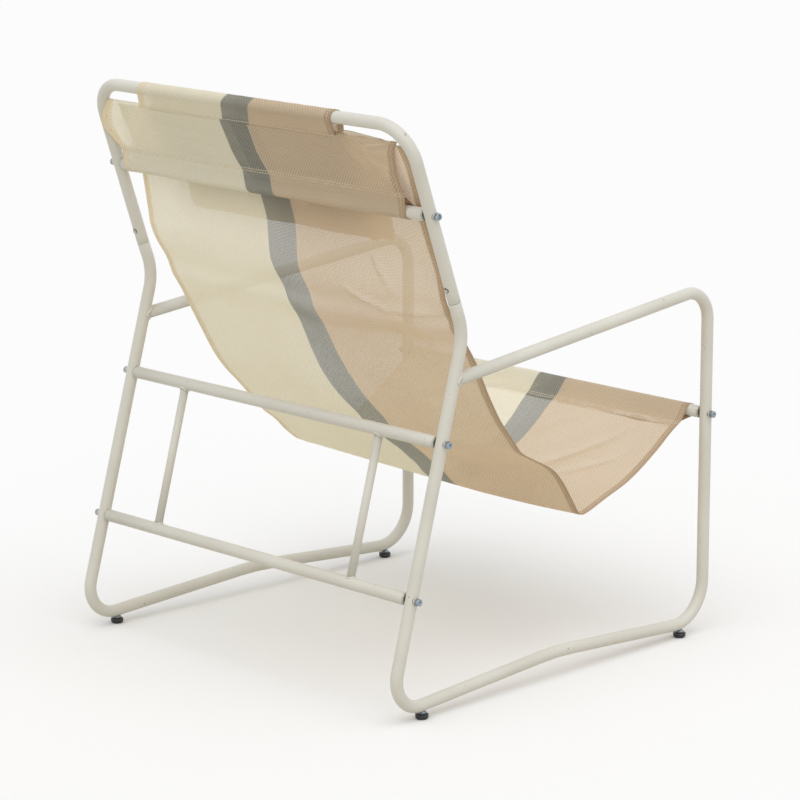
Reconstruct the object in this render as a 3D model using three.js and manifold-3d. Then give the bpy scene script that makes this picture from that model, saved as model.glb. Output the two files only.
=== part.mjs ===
// Sling patio chair. Two bent side frames carry a tubular back hoop, four cross bars and a
// rear ladder; a striped mesh sheet hangs between the front bar and the top of the hoop.
// Millimetres, +Z up, the sitter faces -Y, +X is the sitter's left.

import * as THREE from "three";
import { mergeVertices } from "three/addons/utils/BufferGeometryUtils.js";
import Module from "manifold-3d";

const wasm = await Module();
wasm.setup();

// Frame tubes.
const TUBE_R = 9;                 // every main tube is 18 mm across
const TUBE_WALL = 1.5;
const TUBE_SIDES = 16;            // facets round a tube
const BORE_SIDES = 12;            // facets round its bore
const ARC_STEP = 14;              // degrees turned per step in a bend
const CLEAR = 0.3;                // gap left between neighbouring solids
const RUN_FIT = 0.1;              // gap all round between a stud and what it turns or slides in
const OVERSHOOT = 2;              // how far a cutter runs past what it cuts

// Side outline, seen from the side: y from the heel, z from the floor.
const DEPTH = 670;                // heel corner to front leg
const LEG_FOOT_Z = 16.4;          // front bottom corner
const HEEL_Z = 15.8;              // rear bottom corner
const ARM_FRONT_Z = 527;          // front end of the armrest
const RAIL_BEND_SHARE = 0.51;     // where the floor rail is arched, from the heel
const RAIL_BEND_Z = 38;
const KNEE_Y = -144.7;            // the upright leans forward to here
const KNEE_Z = 532.4;
const ARM_JOIN_SHARE = 0.8785;    // height on the upright where the armrest is welded
const HOOP_TOP_Y = -34.1;         // then leans back to the top of the hoop
const HOOP_TOP_Z = 828.6;
const SEAM_SHARE = 0.1415;        // where the hoop plugs on, from the knee to the top
const BEND_ARM = 44;              // centre line radii of the bends
const BEND_TOE = 62;
const BEND_RAIL = 500;
const BEND_HEEL = 44;
const BEND_KNEE = 80;
const BEND_HOOP = 54;

// Plan.
const HALF_WIDTH = 328;           // half the distance between the hoop's legs at the seams
const HOOP_TAPER = 3.5;           // each leg leans in by this on the way to the top
const HOOP_LEAN = 6.4;            // and the top has settled this far to the sitter's right
const TOE_IN_DEGREES = 1.27;      // degrees each side frame turns in towards the front

// Cross bars, as heights on their tubes.
const BACK_BAR_SHARE = 0.58;      // on the hoop's leg, from the knee to the top
const UPPER_RAIL_SHARE = 0.7144;  // on the upright, from the heel to the knee
const LOWER_RAIL_SHARE = 0.3062;
const FRONT_BAR_Z = 335.5;        // on the front leg
const STRUT_X = 206.6;
const STRUT_R = 6;
const STRUT_WALL = 1.2;

// Bolts, washers and inserts at the ends of the bars.
const BOLT_R = 3;                 // M6
const BOLT_GRIP = 14;             // thread taken up by the insert
const HEAD_R = 5;
const HEAD_H = 6;
const HEAD_EDGE = 0.8;            // rounded rim of the head
const SOCKET_R = 2.9;             // corner radius of the hexagon
const SOCKET_DEPTH = 3.4;
const WASHER_R = 6;
const WASHER_MID = 1.3;           // thickness over the crown of the tube
const WASHER_SKIRT = 2.3;         // how far its saddle reaches down the tube's sides
const INSERT_LENGTH = 20;
const INSERT_FLANGE = 2;

// Joint of hoop and side frame.
const SLEEVE_PLAY = 0.5;          // gap round the sleeve in both tubes
const SLEEVE_WALL = 1.2;
const SLEEVE_DOWN_SHARE = 0.88;   // of the straight run between the knee's bend and the seam
const SLEEVE_UP = 62;             // length inside the hoop's leg
const SLEEVE_BEND = 200;          // it is bent a little at the seam, as the hoop leans
const BUTTON_UP = 22;             // height of the button over the seam
const BUTTON_R = 3;
const BUTTON_STAND = 2.3;         // how far it stands out of the tube
const BUTTON_DOME = 1.6;
const LEAF_T = 0.8;
const LEAF_W = 5;
const LEAF_LIFT = 0.85;           // gap between the leaf and the sleeve's bore
const LEAF_DOWN = 17;             // length of the leaf under the button
const LEAF_UP = 9;
const LEAF_ROOT_R = 2.4;          // radius of its fold

// Levelling feet.
const FOOT_REAR_SHARE = 0.19;     // along the rear half of the floor rail
const FOOT_FRONT_SHARE = 0.158;   // along the front half
const PAD_R = 9.5;
const PAD_H = 7.6;
const PAD_BASE_R = 7.2;
const PAD_TAPER = 2.6;
const PAD_FLUTE_COUNT = 18;
const FLUTE_DEPTH = 0.7;
const STUD_R = 3;
const STUD_COLLAR_R = 5;
const STUD_COLLAR_H = 1;
const STUD_IN_PAD = 4.5;
const NUT_R = 4.3;
const NUT_FLANGE_R = 6.5;
const NUT_FLANGE_H = 1.2;
const NUT_LENGTH = 11;
const STUD_TOP_LEFT = 1.5;        // thread left over the nut's end

// Mesh sheet.
const CLOTH = 1.2;                // thickness of the mesh
const CLOTH_GAP = 0.5;            // slack between the mesh and the bar inside a pocket
const SHEET_MARGIN = 33;          // from the middle of the hoop's leg to the sheet's hem
const SHEET_HALF = HALF_WIDTH - SHEET_MARGIN;
const BACK_STANDOFF = 13.6;       // how far the sheet stands before the hoop at the back bar
const SLEEVE_MARGIN = 125;        // the sheet is notched for the corners of the hoop
const SLEEVE_HALF = HALF_WIDTH - SLEEVE_MARGIN;
const SLEEVE_SHIFT = 6;           // how far it has slid to the sitter's left on the bar
const SLEEVE_SKEW = 17;           // and how much further at the stitching behind
const SHOULDER_SHIFT = -11;       // the sheet's shoulders have slid to the sitter's right
const WRAP_STEP = 24;             // degrees per step round a bar
const CLOTH_STEPS = 10;           // strips across the sheet
const SAG = 7;                    // how far its middle hangs under the hems
const SAG_SHARE = 0.26;           // the share of its length at which it sags fully
const POCKET_NARROW = 4.5;        // the front pocket is hemmed narrower by this
const POCKET_HALF = SHEET_HALF - POCKET_NARROW;
const POCKET_SHIFT = 2.5;         // and has slid this far to the sitter's left
const SHOULDER_NARROW = 4;        // the shoulders' ends are turned in as well
const SHOULDER_HALF = SHEET_HALF - SHOULDER_NARROW;
const POCKET_TAIL = 12;           // cloth beyond the stitching
const STITCH_GAP = 0.4;           // between layers that are sewn together
const SEW_DROP = 31;              // from the top bar's centre down to the sleeve's stitching
const SEW_TAIL = 6;               // cloth beyond that stitching
const PANEL_NARROW = 31;          // the rear panel's half width is less than the hoop's by this
const PANEL_SHIFT = 7;            // and it has slid this far to the sitter's left
const PANEL_LEFT = HALF_WIDTH - PANEL_NARROW + PANEL_SHIFT;
const PANEL_RIGHT = HALF_WIDTH - PANEL_NARROW - PANEL_SHIFT;
const PANEL_EAR = 5;              // its left edge curls out by this towards the hoop's leg
const PANEL_HEM = 4;              // and is turned in by this at its top and on the right bar end
const PANEL_STITCH = 25;          // pocket stitching over the back bar

// Head pillow.
const PILLOW_MARGIN = 107;        // from the middle of the hoop's leg to its side
const PILLOW_HALF = HALF_WIDTH - PILLOW_MARGIN;
const PILLOW_H = 190;
const PILLOW_T = 56;
const PILLOW_X = 10;
const PILLOW_WIDE_STEPS = 20;
const PILLOW_HIGH_STEPS = 12;
const PILLOW_SQUARE_POWER = 8;    // how square its outline is
const PILLOW_ROUND_SHARE = 0.045; // how far its corners are pulled in
const PILLOW_EDGE = 2.4;          // thickness of the seam
const PILLOW_SWELL_POWER = 0.62;  // how fully it is stuffed towards the seams

const WHITE = new THREE.MeshStandardMaterial({ color: 0xdcdbd2, roughness: 0.45, metalness: 0 });
const ZINC = new THREE.MeshStandardMaterial({ color: 0xaab4b8, roughness: 0.3, metalness: 1 });
const SPRING = new THREE.MeshStandardMaterial({ color: 0x8d9092, roughness: 0.35, metalness: 1 });
const BLACK = new THREE.MeshStandardMaterial({ color: 0x2a2a27, roughness: 0.6, metalness: 0 });
const MESH = new THREE.MeshStandardMaterial({ color: 0xd2c4a8, roughness: 0.8, metalness: 0 });
const LINEN = new THREE.MeshStandardMaterial({ color: 0xc4ad8a, roughness: 0.85, metalness: 0 });

const chair = new THREE.Group();
chair.name = "sling_patio_chair";

// Helpers that turn three.js shapes into solids.
const V2 = (y, z) => new THREE.Vector2(y, z);
const V3 = (x, y, z) => new THREE.Vector3(x, y, z);
const rad = THREE.MathUtils.degToRad;
const between = (a, b, share) => a.clone().lerp(b, share);

function solid(geometry) {
  const bare = geometry.clone();
  bare.deleteAttribute("normal");
  bare.deleteAttribute("uv");
  const joined = mergeVertices(bare, 1e-4);
  return new wasm.Manifold(new wasm.Mesh({
    numProp: 3,
    vertProperties: Float32Array.from(joined.attributes.position.array),
    triVerts: Uint32Array.from(joined.index.array),
  }));
}

function add(name, body, material) {
  const out = body.getMesh();
  const geometry = new THREE.BufferGeometry();
  geometry.setAttribute("position", new THREE.BufferAttribute(Float32Array.from(out.vertProperties), 3));
  geometry.setIndex(new THREE.BufferAttribute(Uint32Array.from(out.triVerts), 1));
  geometry.computeVertexNormals();
  const mesh = new THREE.Mesh(geometry, material);
  mesh.name = name;
  chair.add(mesh);
}

// A centre line with true arcs at its corners. It is sampled at its own stations, so a long
// straight run costs one step and a bend gets one for every few degrees.
class BentLine extends THREE.Curve {
  constructor(corners, radii) {
    super();
    this.stations = [{ at: corners[0], dir: corners[1].clone().sub(corners[0]).normalize() }];
    for (let i = 1; i < corners.length - 1; i++) {
      const before = corners[i].clone().sub(corners[i - 1]).normalize();
      const after = corners[i + 1].clone().sub(corners[i]).normalize();
      const turn = before.angleTo(after);
      const reach = radii[i - 1] * Math.tan(turn / 2);
      const start = corners[i].clone().addScaledVector(before, -reach);
      const inward = after.clone().addScaledVector(before, -after.dot(before)).normalize();
      const centre = start.clone().addScaledVector(inward, radii[i - 1]);
      const steps = Math.max(2, Math.round(turn / rad(ARC_STEP)));
      for (let k = 0; k <= steps; k++) {
        const angle = turn * k / steps;
        this.stations.push({
          at: centre.clone().addScaledVector(inward, -radii[i - 1] * Math.cos(angle))
            .addScaledVector(before, radii[i - 1] * Math.sin(angle)),
          dir: before.clone().multiplyScalar(Math.cos(angle)).addScaledVector(inward, Math.sin(angle)),
        });
      }
    }
    const last = corners.length - 1;
    const dir = corners[last].clone().sub(corners[last - 1]).normalize();
    this.stations.push({ at: corners[last], dir });
  }
  get steps() { return this.stations.length - 1; }
  getPointAt(share) { return this.stations[Math.round(share * this.steps)].at.clone(); }
  getPoint(share) { return this.getPointAt(share); }
  getTangentAt(share) { return this.stations[Math.round(share * this.steps)].dir.clone(); }
}

function sweep(line, radius, sides) {
  const circle = new THREE.Shape();
  circle.absarc(0, 0, radius, 0, Math.PI * 2);
  return solid(new THREE.ExtrudeGeometry(circle, {
    extrudePath: line, steps: line.steps, curveSegments: sides / 2,
  }));
}

// A straight rod between two points, with facets aligned the same way for rods that nest.
function rod(from, to, radius, sides) {
  const length = from.distanceTo(to);
  const geometry = new THREE.CylinderGeometry(radius, radius, length, sides);
  const turn = new THREE.Quaternion().setFromUnitVectors(V3(0, 1, 0), to.clone().sub(from).normalize());
  geometry.applyQuaternion(turn);
  geometry.translate(...from.clone().add(to).multiplyScalar(0.5).toArray());
  return solid(geometry);
}

// A turned part: its profile is given as pairs of radius and height along the given direction.
function turned(profile, at, direction, sides) {
  const geometry = new THREE.LatheGeometry(profile.map(([r, h]) => V2(r, h)), sides);
  geometry.applyQuaternion(new THREE.Quaternion().setFromUnitVectors(V3(0, 1, 0), direction));
  geometry.translate(...at.toArray());
  return solid(geometry);
}

// Rings of points stacked upwards and closed by a flat fan at each end.
function stack(rings) {
  const around = rings[0].length;
  const points = rings.flat();
  const index = [];
  for (let i = 0; i < rings.length - 1; i++) {
    for (let k = 0; k < around; k++) {
      const a = i * around + k;
      const b = i * around + (k + 1) % around;
      index.push(a, b, b + around, a, b + around, a + around);
    }
  }
  const top = (rings.length - 1) * around;
  for (let k = 1; k < around - 1; k++) index.push(0, k + 1, k, top, top + k, top + k + 1);
  const geometry = new THREE.BufferGeometry();
  geometry.setAttribute("position", new THREE.Float32BufferAttribute(points.flat(), 3));
  geometry.setIndex(index);
  return solid(geometry);
}

// Key points of the side outline.
const TOE = V2(-DEPTH, LEG_FOOT_Z);
const ARM_FRONT = V2(-DEPTH, ARM_FRONT_Z);
const HEEL = V2(0, HEEL_Z);
const RAIL_BEND = V2(-DEPTH * RAIL_BEND_SHARE, RAIL_BEND_Z);
const KNEE = V2(KNEE_Y, KNEE_Z);
const HOOP_TOP = V2(HOOP_TOP_Y, HOOP_TOP_Z);
const ARM_JOIN = between(HEEL, KNEE, ARM_JOIN_SHARE);
const SEAM = between(KNEE, HOOP_TOP, SEAM_SHARE);
const BACK_BAR = between(KNEE, HOOP_TOP, BACK_BAR_SHARE);
const UPPER_RAIL = between(HEEL, KNEE, UPPER_RAIL_SHARE);
const LOWER_RAIL = between(HEEL, KNEE, LOWER_RAIL_SHARE);
const FRONT_BAR = V2(-DEPTH, FRONT_BAR_Z);
const BORE_R = TUBE_R - TUBE_WALL;
const upDir = HOOP_TOP.clone().sub(KNEE).normalize();
const kneeTurn = upDir.angle() - KNEE.clone().sub(HEEL).angle();
const kneeReach = BEND_KNEE * Math.tan(Math.abs(kneeTurn) / 2);
const SLEEVE_DOWN = SLEEVE_DOWN_SHARE * (KNEE.distanceTo(SEAM) - kneeReach);
const lean = (p) => V3(0, p.x, p.y);
const sideX = (y) => HALF_WIDTH + (y - SEAM.x) * Math.tan(rad(TOE_IN_DEGREES));
// The centre of the hoop's leg at a height given as a point of the side outline.
const rise = (p) => p.distanceTo(SEAM) / HOOP_TOP.distanceTo(SEAM);
const hoopX = (p) => HALF_WIDTH - HOOP_TAPER * rise(p);
const hoopAt = (side, p) => V3(side * hoopX(p) - HOOP_LEAN * rise(p), p.x, p.y);
// The direction of the side frame's tube just below the seam.
const belowSeam = (side) => V3(side * upDir.x * Math.sin(rad(TOE_IN_DEGREES)),
  upDir.x * Math.cos(rad(TOE_IN_DEGREES)), upDir.y);

// Rigid frame, left and right.
for (const [side, word] of [[1, "left"], [-1, "right"]]) {
  // Side frame: one tube from the armrest's weld round the front leg, the floor rail and the
  // heel up to the seam. It is drawn flat and then turned in towards the front.
  const corners = [ARM_JOIN, ARM_FRONT, TOE, RAIL_BEND, HEEL, KNEE, SEAM].map(lean);
  const armDir = ARM_FRONT.clone().sub(ARM_JOIN).normalize();
  corners[0].addScaledVector(lean(armDir), TUBE_R * 3);
  const radii = [BEND_ARM, BEND_TOE, BEND_RAIL, BEND_HEEL, BEND_KNEE];
  const line = new BentLine(corners, radii);
  const boreCorners = corners.map((c) => c.clone());
  boreCorners[boreCorners.length - 1].addScaledVector(lean(upDir), OVERSHOOT);
  boreCorners[0] = lean(ARM_JOIN).addScaledVector(lean(armDir), TUBE_R);
  const stubEnd = corners[0].clone().addScaledVector(lean(armDir), OVERSHOOT);
  const stub = rod(lean(ARM_JOIN), stubEnd, TUBE_R, TUBE_SIDES);
  let frame = sweep(line, TUBE_R, TUBE_SIDES).add(stub)
    .subtract(sweep(new BentLine(boreCorners, radii), BORE_R, BORE_SIDES));
  frame = frame.translate([0, -SEAM.x, 0]).rotate([0, 0, -side * TOE_IN_DEGREES])
    .translate([side * HALF_WIDTH, SEAM.x, 0]);
  for (const spot of [UPPER_RAIL, LOWER_RAIL, FRONT_BAR]) {
    const x = side * sideX(spot.x);
    frame = frame.subtract(rod(V3(x - TUBE_R * 2, spot.x, spot.y), V3(x + TUBE_R * 2, spot.x, spot.y),
      BOLT_R + CLEAR, BORE_SIDES));
  }

  // Levelling feet: a rivet nut in the rail's underside, a stud with a collar, a fluted pad.
  const feet = [
    ["rear", between(HEEL, RAIL_BEND, FOOT_REAR_SHARE)],
    ["front", between(TOE, RAIL_BEND, FOOT_FRONT_SHARE)],
  ];
  for (const [end, rail] of feet) {
    const x = side * sideX(rail.x);
    const at = (z) => V3(x, rail.x, z);
    const up = V3(0, 0, 1);
    const under = rail.y - TUBE_R;
    frame = frame.subtract(rod(at(0), at(rail.y), NUT_R + CLEAR, BORE_SIDES));
    const flangeTop = under - CLEAR;
    const flangeLow = flangeTop - NUT_FLANGE_H;
    add(`foot_nut_${end}_${word}`, turned([
      [STUD_R + RUN_FIT, 0], [NUT_FLANGE_R, 0], [NUT_FLANGE_R, NUT_FLANGE_H], [NUT_R, NUT_FLANGE_H],
      [NUT_R, NUT_LENGTH], [STUD_R + RUN_FIT, NUT_LENGTH], [STUD_R + RUN_FIT, 0],
    ], at(flangeLow), up, BORE_SIDES), ZINC);
    const collarTop = PAD_H + CLEAR + Math.min(STUD_COLLAR_H, flangeLow - PAD_H - 2 * CLEAR);
    add(`foot_stud_${end}_${word}`, turned([
      [0, PAD_H - STUD_IN_PAD], [STUD_R, PAD_H - STUD_IN_PAD], [STUD_R, PAD_H + CLEAR],
      [STUD_COLLAR_R, PAD_H + CLEAR], [STUD_COLLAR_R, collarTop], [STUD_R, collarTop],
      [STUD_R, flangeLow + NUT_LENGTH + STUD_TOP_LEFT], [0, flangeLow + NUT_LENGTH + STUD_TOP_LEFT],
    ], at(0), up, BORE_SIDES), ZINC);
    const padBore = (STUD_R + RUN_FIT) / Math.cos(Math.PI / BORE_SIDES);
    const levels = [[PAD_BASE_R, 0, 0], [PAD_R, PAD_TAPER, FLUTE_DEPTH], [PAD_R, PAD_H, FLUTE_DEPTH]];
    const pad = stack(levels.map(([r, h, depth]) => Array.from({ length: PAD_FLUTE_COUNT * 2 }, (_, k) => {
      const reach = r - (k % 2) * depth;
      const a = Math.PI * k / PAD_FLUTE_COUNT;
      return [x + reach * Math.cos(a), rail.x + reach * Math.sin(a), h];
    })));
    add(`foot_pad_${end}_${word}`, pad.subtract(
      rod(at(PAD_H - STUD_IN_PAD - CLEAR), at(PAD_H + OVERSHOOT), padBore, BORE_SIDES)), BLACK);
  }
  add(`side_frame_${word}`, frame, WHITE);

  // Sleeve that joins the hoop's leg to the side frame, with a sprung button through both.
  const seam = hoopAt(side, SEAM);
  const up3 = hoopAt(side, HOOP_TOP).sub(seam).normalize();
  const out3 = V3(0, upDir.y, -upDir.x);
  const alongSeam = (h) => seam.clone().addScaledVector(up3, h);
  const sleeveR = BORE_R * Math.cos(Math.PI / BORE_SIDES) - SLEEVE_PLAY;
  const sleeveBore = sleeveR - SLEEVE_WALL;
  const hole = (radius) => rod(alongSeam(BUTTON_UP), alongSeam(BUTTON_UP).addScaledVector(out3, TUBE_R * 2),
    radius, BORE_SIDES);
  const sleeve = (radius, extra) => sweep(new BentLine([
    seam.clone().addScaledVector(belowSeam(side), -SLEEVE_DOWN - extra), seam,
    alongSeam(SLEEVE_UP + extra),
  ], [SLEEVE_BEND]), radius, TUBE_SIDES);
  add(`joint_sleeve_${word}`, sleeve(sleeveR, 0).subtract(sleeve(sleeveBore, OVERSHOOT))
    .subtract(hole(BUTTON_R + CLEAR)), ZINC);
  const leafOut = sleeveBore - LEAF_LIFT;
  const domeTop = TUBE_R + BUTTON_STAND;
  add(`snap_button_${word}`, turned([
    [0, leafOut + CLEAR], [BUTTON_R, leafOut + CLEAR], [BUTTON_R, domeTop - BUTTON_DOME],
    [BUTTON_R * 0.8, domeTop - BUTTON_DOME * 0.4], [BUTTON_R * 0.4, domeTop - BUTTON_DOME * 0.08],
    [0, domeTop],
  ], alongSeam(BUTTON_UP), out3, BORE_SIDES), ZINC);

  // The button's leaf: a strip folded to a hairpin, one arm under the button, the other on
  // the far wall of the sleeve. The profile lies in the plane of the hole and the tube.
  const arm = leafOut - LEAF_ROOT_R;
  const hairpin = new THREE.Shape();
  hairpin.moveTo(leafOut, LEAF_UP);
  hairpin.lineTo(leafOut, 0);
  hairpin.lineTo(LEAF_ROOT_R, -LEAF_DOWN);
  hairpin.absarc(0, -LEAF_DOWN, LEAF_ROOT_R, 0, -Math.PI, true);
  hairpin.lineTo(-leafOut, 0);
  hairpin.lineTo(-leafOut, LEAF_UP);
  hairpin.lineTo(-leafOut + LEAF_T, LEAF_UP);
  hairpin.lineTo(-leafOut + LEAF_T, 0);
  hairpin.lineTo(-LEAF_ROOT_R + LEAF_T, -LEAF_DOWN);
  hairpin.absarc(0, -LEAF_DOWN, LEAF_ROOT_R - LEAF_T, -Math.PI, 0, false);
  hairpin.lineTo(leafOut - LEAF_T, 0);
  hairpin.lineTo(leafOut - LEAF_T, LEAF_UP);
  const strip = new THREE.ExtrudeGeometry(hairpin, { depth: LEAF_W, bevelEnabled: false, curveSegments: 4 });
  strip.translate(0, 0, -LEAF_W / 2);
  const basis = new THREE.Matrix4().makeBasis(out3, up3, new THREE.Vector3().crossVectors(out3, up3));
  basis.setPosition(alongSeam(BUTTON_UP));
  strip.applyMatrix4(basis);
  add(`snap_spring_${word}`, solid(strip), SPRING);

  // Strut of the rear ladder, its ends coped to the two rails.
  const railLine = (spot, radius) => rod(V3(side * STRUT_X - TUBE_R * 2, spot.x, spot.y),
    V3(side * STRUT_X + TUBE_R * 2, spot.x, spot.y), radius, TUBE_SIDES);
  const foot = V3(side * STRUT_X, LOWER_RAIL.x, LOWER_RAIL.y);
  const head = V3(side * STRUT_X, UPPER_RAIL.x, UPPER_RAIL.y);
  add(`rear_strut_${word}`, rod(foot, head, STRUT_R, BORE_SIDES)
    .subtract(rod(foot, head, STRUT_R - STRUT_WALL, BORE_SIDES))
    .subtract(railLine(LOWER_RAIL, TUBE_R + CLEAR)).subtract(railLine(UPPER_RAIL, TUBE_R + CLEAR)), WHITE);
}

// Back hoop: an upside-down U that plugs on both sleeves.
{
  const legRun = (side) => hoopAt(side, HOOP_TOP).sub(hoopAt(side, SEAM)).normalize();
  const corners = [hoopAt(1, SEAM), hoopAt(1, HOOP_TOP), hoopAt(-1, HOOP_TOP), hoopAt(-1, SEAM)];
  // Its ends are cut square, so a leaning leg needs a wider gap over the side frame.
  const gap = (side) => CLEAR + TUBE_R * Math.sin(legRun(side).angleTo(belowSeam(side)));
  corners[0].addScaledVector(legRun(1), gap(1));
  corners[3].addScaledVector(legRun(-1), gap(-1));
  const bore = corners.map((c) => c.clone());
  bore[0].addScaledVector(legRun(1), -OVERSHOOT);
  bore[3].addScaledVector(legRun(-1), -OVERSHOOT);
  const radii = [BEND_HOOP, BEND_HOOP];
  let hoop = sweep(new BentLine(corners, radii), TUBE_R, TUBE_SIDES)
    .subtract(sweep(new BentLine(bore, radii), BORE_R, BORE_SIDES));
  for (const side of [1, -1]) {
    const bolt = hoopAt(side, BACK_BAR);
    const across = V3(TUBE_R * 2, 0, 0);
    hoop = hoop.subtract(rod(bolt.clone().sub(across), bolt.clone().add(across),
      BOLT_R + CLEAR, BORE_SIDES));
    const button = hoopAt(side, SEAM).addScaledVector(legRun(side), BUTTON_UP);
    hoop = hoop.subtract(rod(button, button.clone().addScaledVector(V3(0, upDir.y, -upDir.x), TUBE_R * 2),
      BUTTON_R + CLEAR, BORE_SIDES));
  }
  add("back_hoop", hoop, WHITE);
}

// Cross bars with their inserts, bolts and saddle washers.
const upright = KNEE.clone().sub(HEEL).normalize();
const bars = [
  ["upper_back_bar", BACK_BAR, hoopX(BACK_BAR), upDir, HOOP_LEAN * rise(BACK_BAR)],
  ["rear_upper_rail", UPPER_RAIL, sideX(UPPER_RAIL.x), upright, 0],
  ["rear_lower_rail", LOWER_RAIL, sideX(LOWER_RAIL.x), upright, 0],
  ["front_seat_bar", FRONT_BAR, sideX(FRONT_BAR.x), V2(0, 1), 0],
];
for (const [name, spot, reach, along, shift] of bars) {
  const axis = (x) => V3(x - shift, spot.x, spot.y);
  const barEnd = reach - TUBE_R - INSERT_FLANGE - 2 * CLEAR;
  add(name, rod(axis(-barEnd), axis(barEnd), TUBE_R, TUBE_SIDES)
    .subtract(rod(axis(-barEnd - OVERSHOOT), axis(barEnd + OVERSHOOT), BORE_R, BORE_SIDES)), WHITE);
  for (const [side, word] of [[1, "left"], [-1, "right"]]) {
    const outward = V3(side, 0, 0);
    const plugR = BORE_R * Math.cos(Math.PI / BORE_SIDES) - CLEAR;
    add(`${name}_insert_${word}`, turned([
      [BOLT_R + CLEAR, -INSERT_LENGTH], [plugR, -INSERT_LENGTH], [plugR, CLEAR], [TUBE_R, CLEAR],
      [TUBE_R, CLEAR + INSERT_FLANGE], [BOLT_R + CLEAR, CLEAR + INSERT_FLANGE],
      [BOLT_R + CLEAR, -INSERT_LENGTH],
    ], axis(side * barEnd), outward, BORE_SIDES), ZINC);
    // The saddle washer is flat under the bolt's head and hollowed to sit on the tube.
    const crown = TUBE_R + CLEAR;
    const tubeAt = axis(side * reach);
    const blank = rod(axis(side * (reach + crown - WASHER_SKIRT)), axis(side * (reach + crown + WASHER_MID)),
      WASHER_R, TUBE_SIDES);
    const half = lean(along).multiplyScalar(WASHER_R * 2);
    const past = axis(side * (reach + crown + WASHER_MID + OVERSHOOT));
    add(`${name}_washer_${word}`, blank
      .subtract(rod(tubeAt.clone().sub(half), tubeAt.clone().add(half), crown, TUBE_SIDES))
      .subtract(rod(tubeAt, past, BOLT_R + CLEAR, BORE_SIDES)), ZINC);
    // Socket head screw, from its tip in the insert to the hexagon in its head.
    const under = reach + crown + WASHER_MID + CLEAR;
    const shank = under - (reach - TUBE_R - BOLT_GRIP);
    const screw = turned([
      [0, -shank], [BOLT_R, -shank], [BOLT_R, 0], [HEAD_R, 0], [HEAD_R, HEAD_H - HEAD_EDGE],
      [HEAD_R - HEAD_EDGE, HEAD_H], [0, HEAD_H],
    ], axis(side * under), outward, BORE_SIDES);
    add(`${name}_bolt_${word}`, screw.subtract(rod(axis(side * (under + HEAD_H - SOCKET_DEPTH)),
      axis(side * (under + HEAD_H + OVERSHOOT)), SOCKET_R, 6)), ZINC);
  }
}

// Cloth.
// Points of a strip of mesh seen from the side, where it lies round a bar.
const WRAP_R = TUBE_R + CLOTH_GAP + CLOTH / 2;
const layer = CLOTH + STITCH_GAP;
function around(bar, from, to) {
  const steps = Math.ceil(Math.abs(to - from) / rad(WRAP_STEP));
  return Array.from({ length: steps + 1 }, (_, k) => {
    const a = from + (to - from) * k / steps;
    return V2(bar.x + WRAP_R * Math.cos(a), bar.y + WRAP_R * Math.sin(a));
  });
}

// The angle at which a straight run of mesh from a point meets the bar it lies round.
function meets(bar, point, side) {
  const away = point.clone().sub(bar);
  return Math.atan2(away.y, away.x) + side * Math.acos(WRAP_R / away.length());
}

// Two matching grids of points, front face first, closed along their edges to one body.
function closedGrid(positions, long, wide) {
  const row = wide + 1;
  const id = (face, i, k) => (face * (long + 1) + i) * row + k;
  const index = [];
  const quad = (a, b, c, d) => index.push(a, b, c, a, c, d);
  for (let i = 0; i < long; i++) {
    for (let k = 0; k < wide; k++) {
      quad(id(0, i, k), id(0, i, k + 1), id(0, i + 1, k + 1), id(0, i + 1, k));
      quad(id(1, i, k), id(1, i + 1, k), id(1, i + 1, k + 1), id(1, i, k + 1));
    }
    quad(id(0, i, 0), id(0, i + 1, 0), id(1, i + 1, 0), id(1, i, 0));
    quad(id(0, i, wide), id(1, i, wide), id(1, i + 1, wide), id(0, i + 1, wide));
  }
  for (let k = 0; k < wide; k++) {
    quad(id(0, 0, k), id(1, 0, k), id(1, 0, k + 1), id(0, 0, k + 1));
    quad(id(0, long, k), id(0, long, k + 1), id(1, long, k + 1), id(1, long, k));
  }
  const geometry = new THREE.BufferGeometry();
  geometry.setAttribute("position", new THREE.Float32BufferAttribute(positions, 3));
  geometry.setIndex(index);
  const body = solid(geometry);
  if (body.volume() > 0) return body;
  geometry.setIndex(index.reverse());
  return solid(geometry);
}

// A strip of cloth as one closed body. Every row holds its place in the side view, how far it
// reaches to each side and how far its middle sags along the row's normal.
function clothBody(rows, thickness) {
  const last = rows.length - 1;
  const positions = [];
  for (const face of [1, -1]) {
    rows.forEach((row, i) => {
      const along = rows[Math.min(i + 1, last)].at.clone().sub(rows[Math.max(i - 1, 0)].at).normalize();
      for (let k = 0; k <= CLOTH_STEPS; k++) {
        const share = k / CLOTH_STEPS;
        const offset = row.sag * 4 * share * (1 - share) + face * thickness / 2;
        positions.push(row.right + (row.left - row.right) * share,
          row.at.x + along.y * offset, row.at.y - along.x * offset);
      }
    });
  }
  return closedGrid(positions, last, CLOTH_STEPS);
}

// The hanging line of the sheet's hems. From the front bar down the seat, round the fold over the
// floor and up to the knees it is given in shares of the way back and up to the knees.
const SEAT_SHARES = [
  [0.0552, -0.0635], [0.1028, -0.1397], [0.1542, -0.2336], [0.2284, -0.3479], [0.3027, -0.4393],
  [0.3769, -0.513], [0.4455, -0.5764], [0.4835, -0.5536], [0.5197, -0.4799], [0.5559, -0.3987],
  [0.6092, -0.2768], [0.6739, -0.1041], [0.7386, 0.066], [0.7938, 0.2184], [0.8624, 0.5256],
  [0.8947, 0.6628], [0.9195, 0.7877], [0.9652, 0.937],
];
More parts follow.
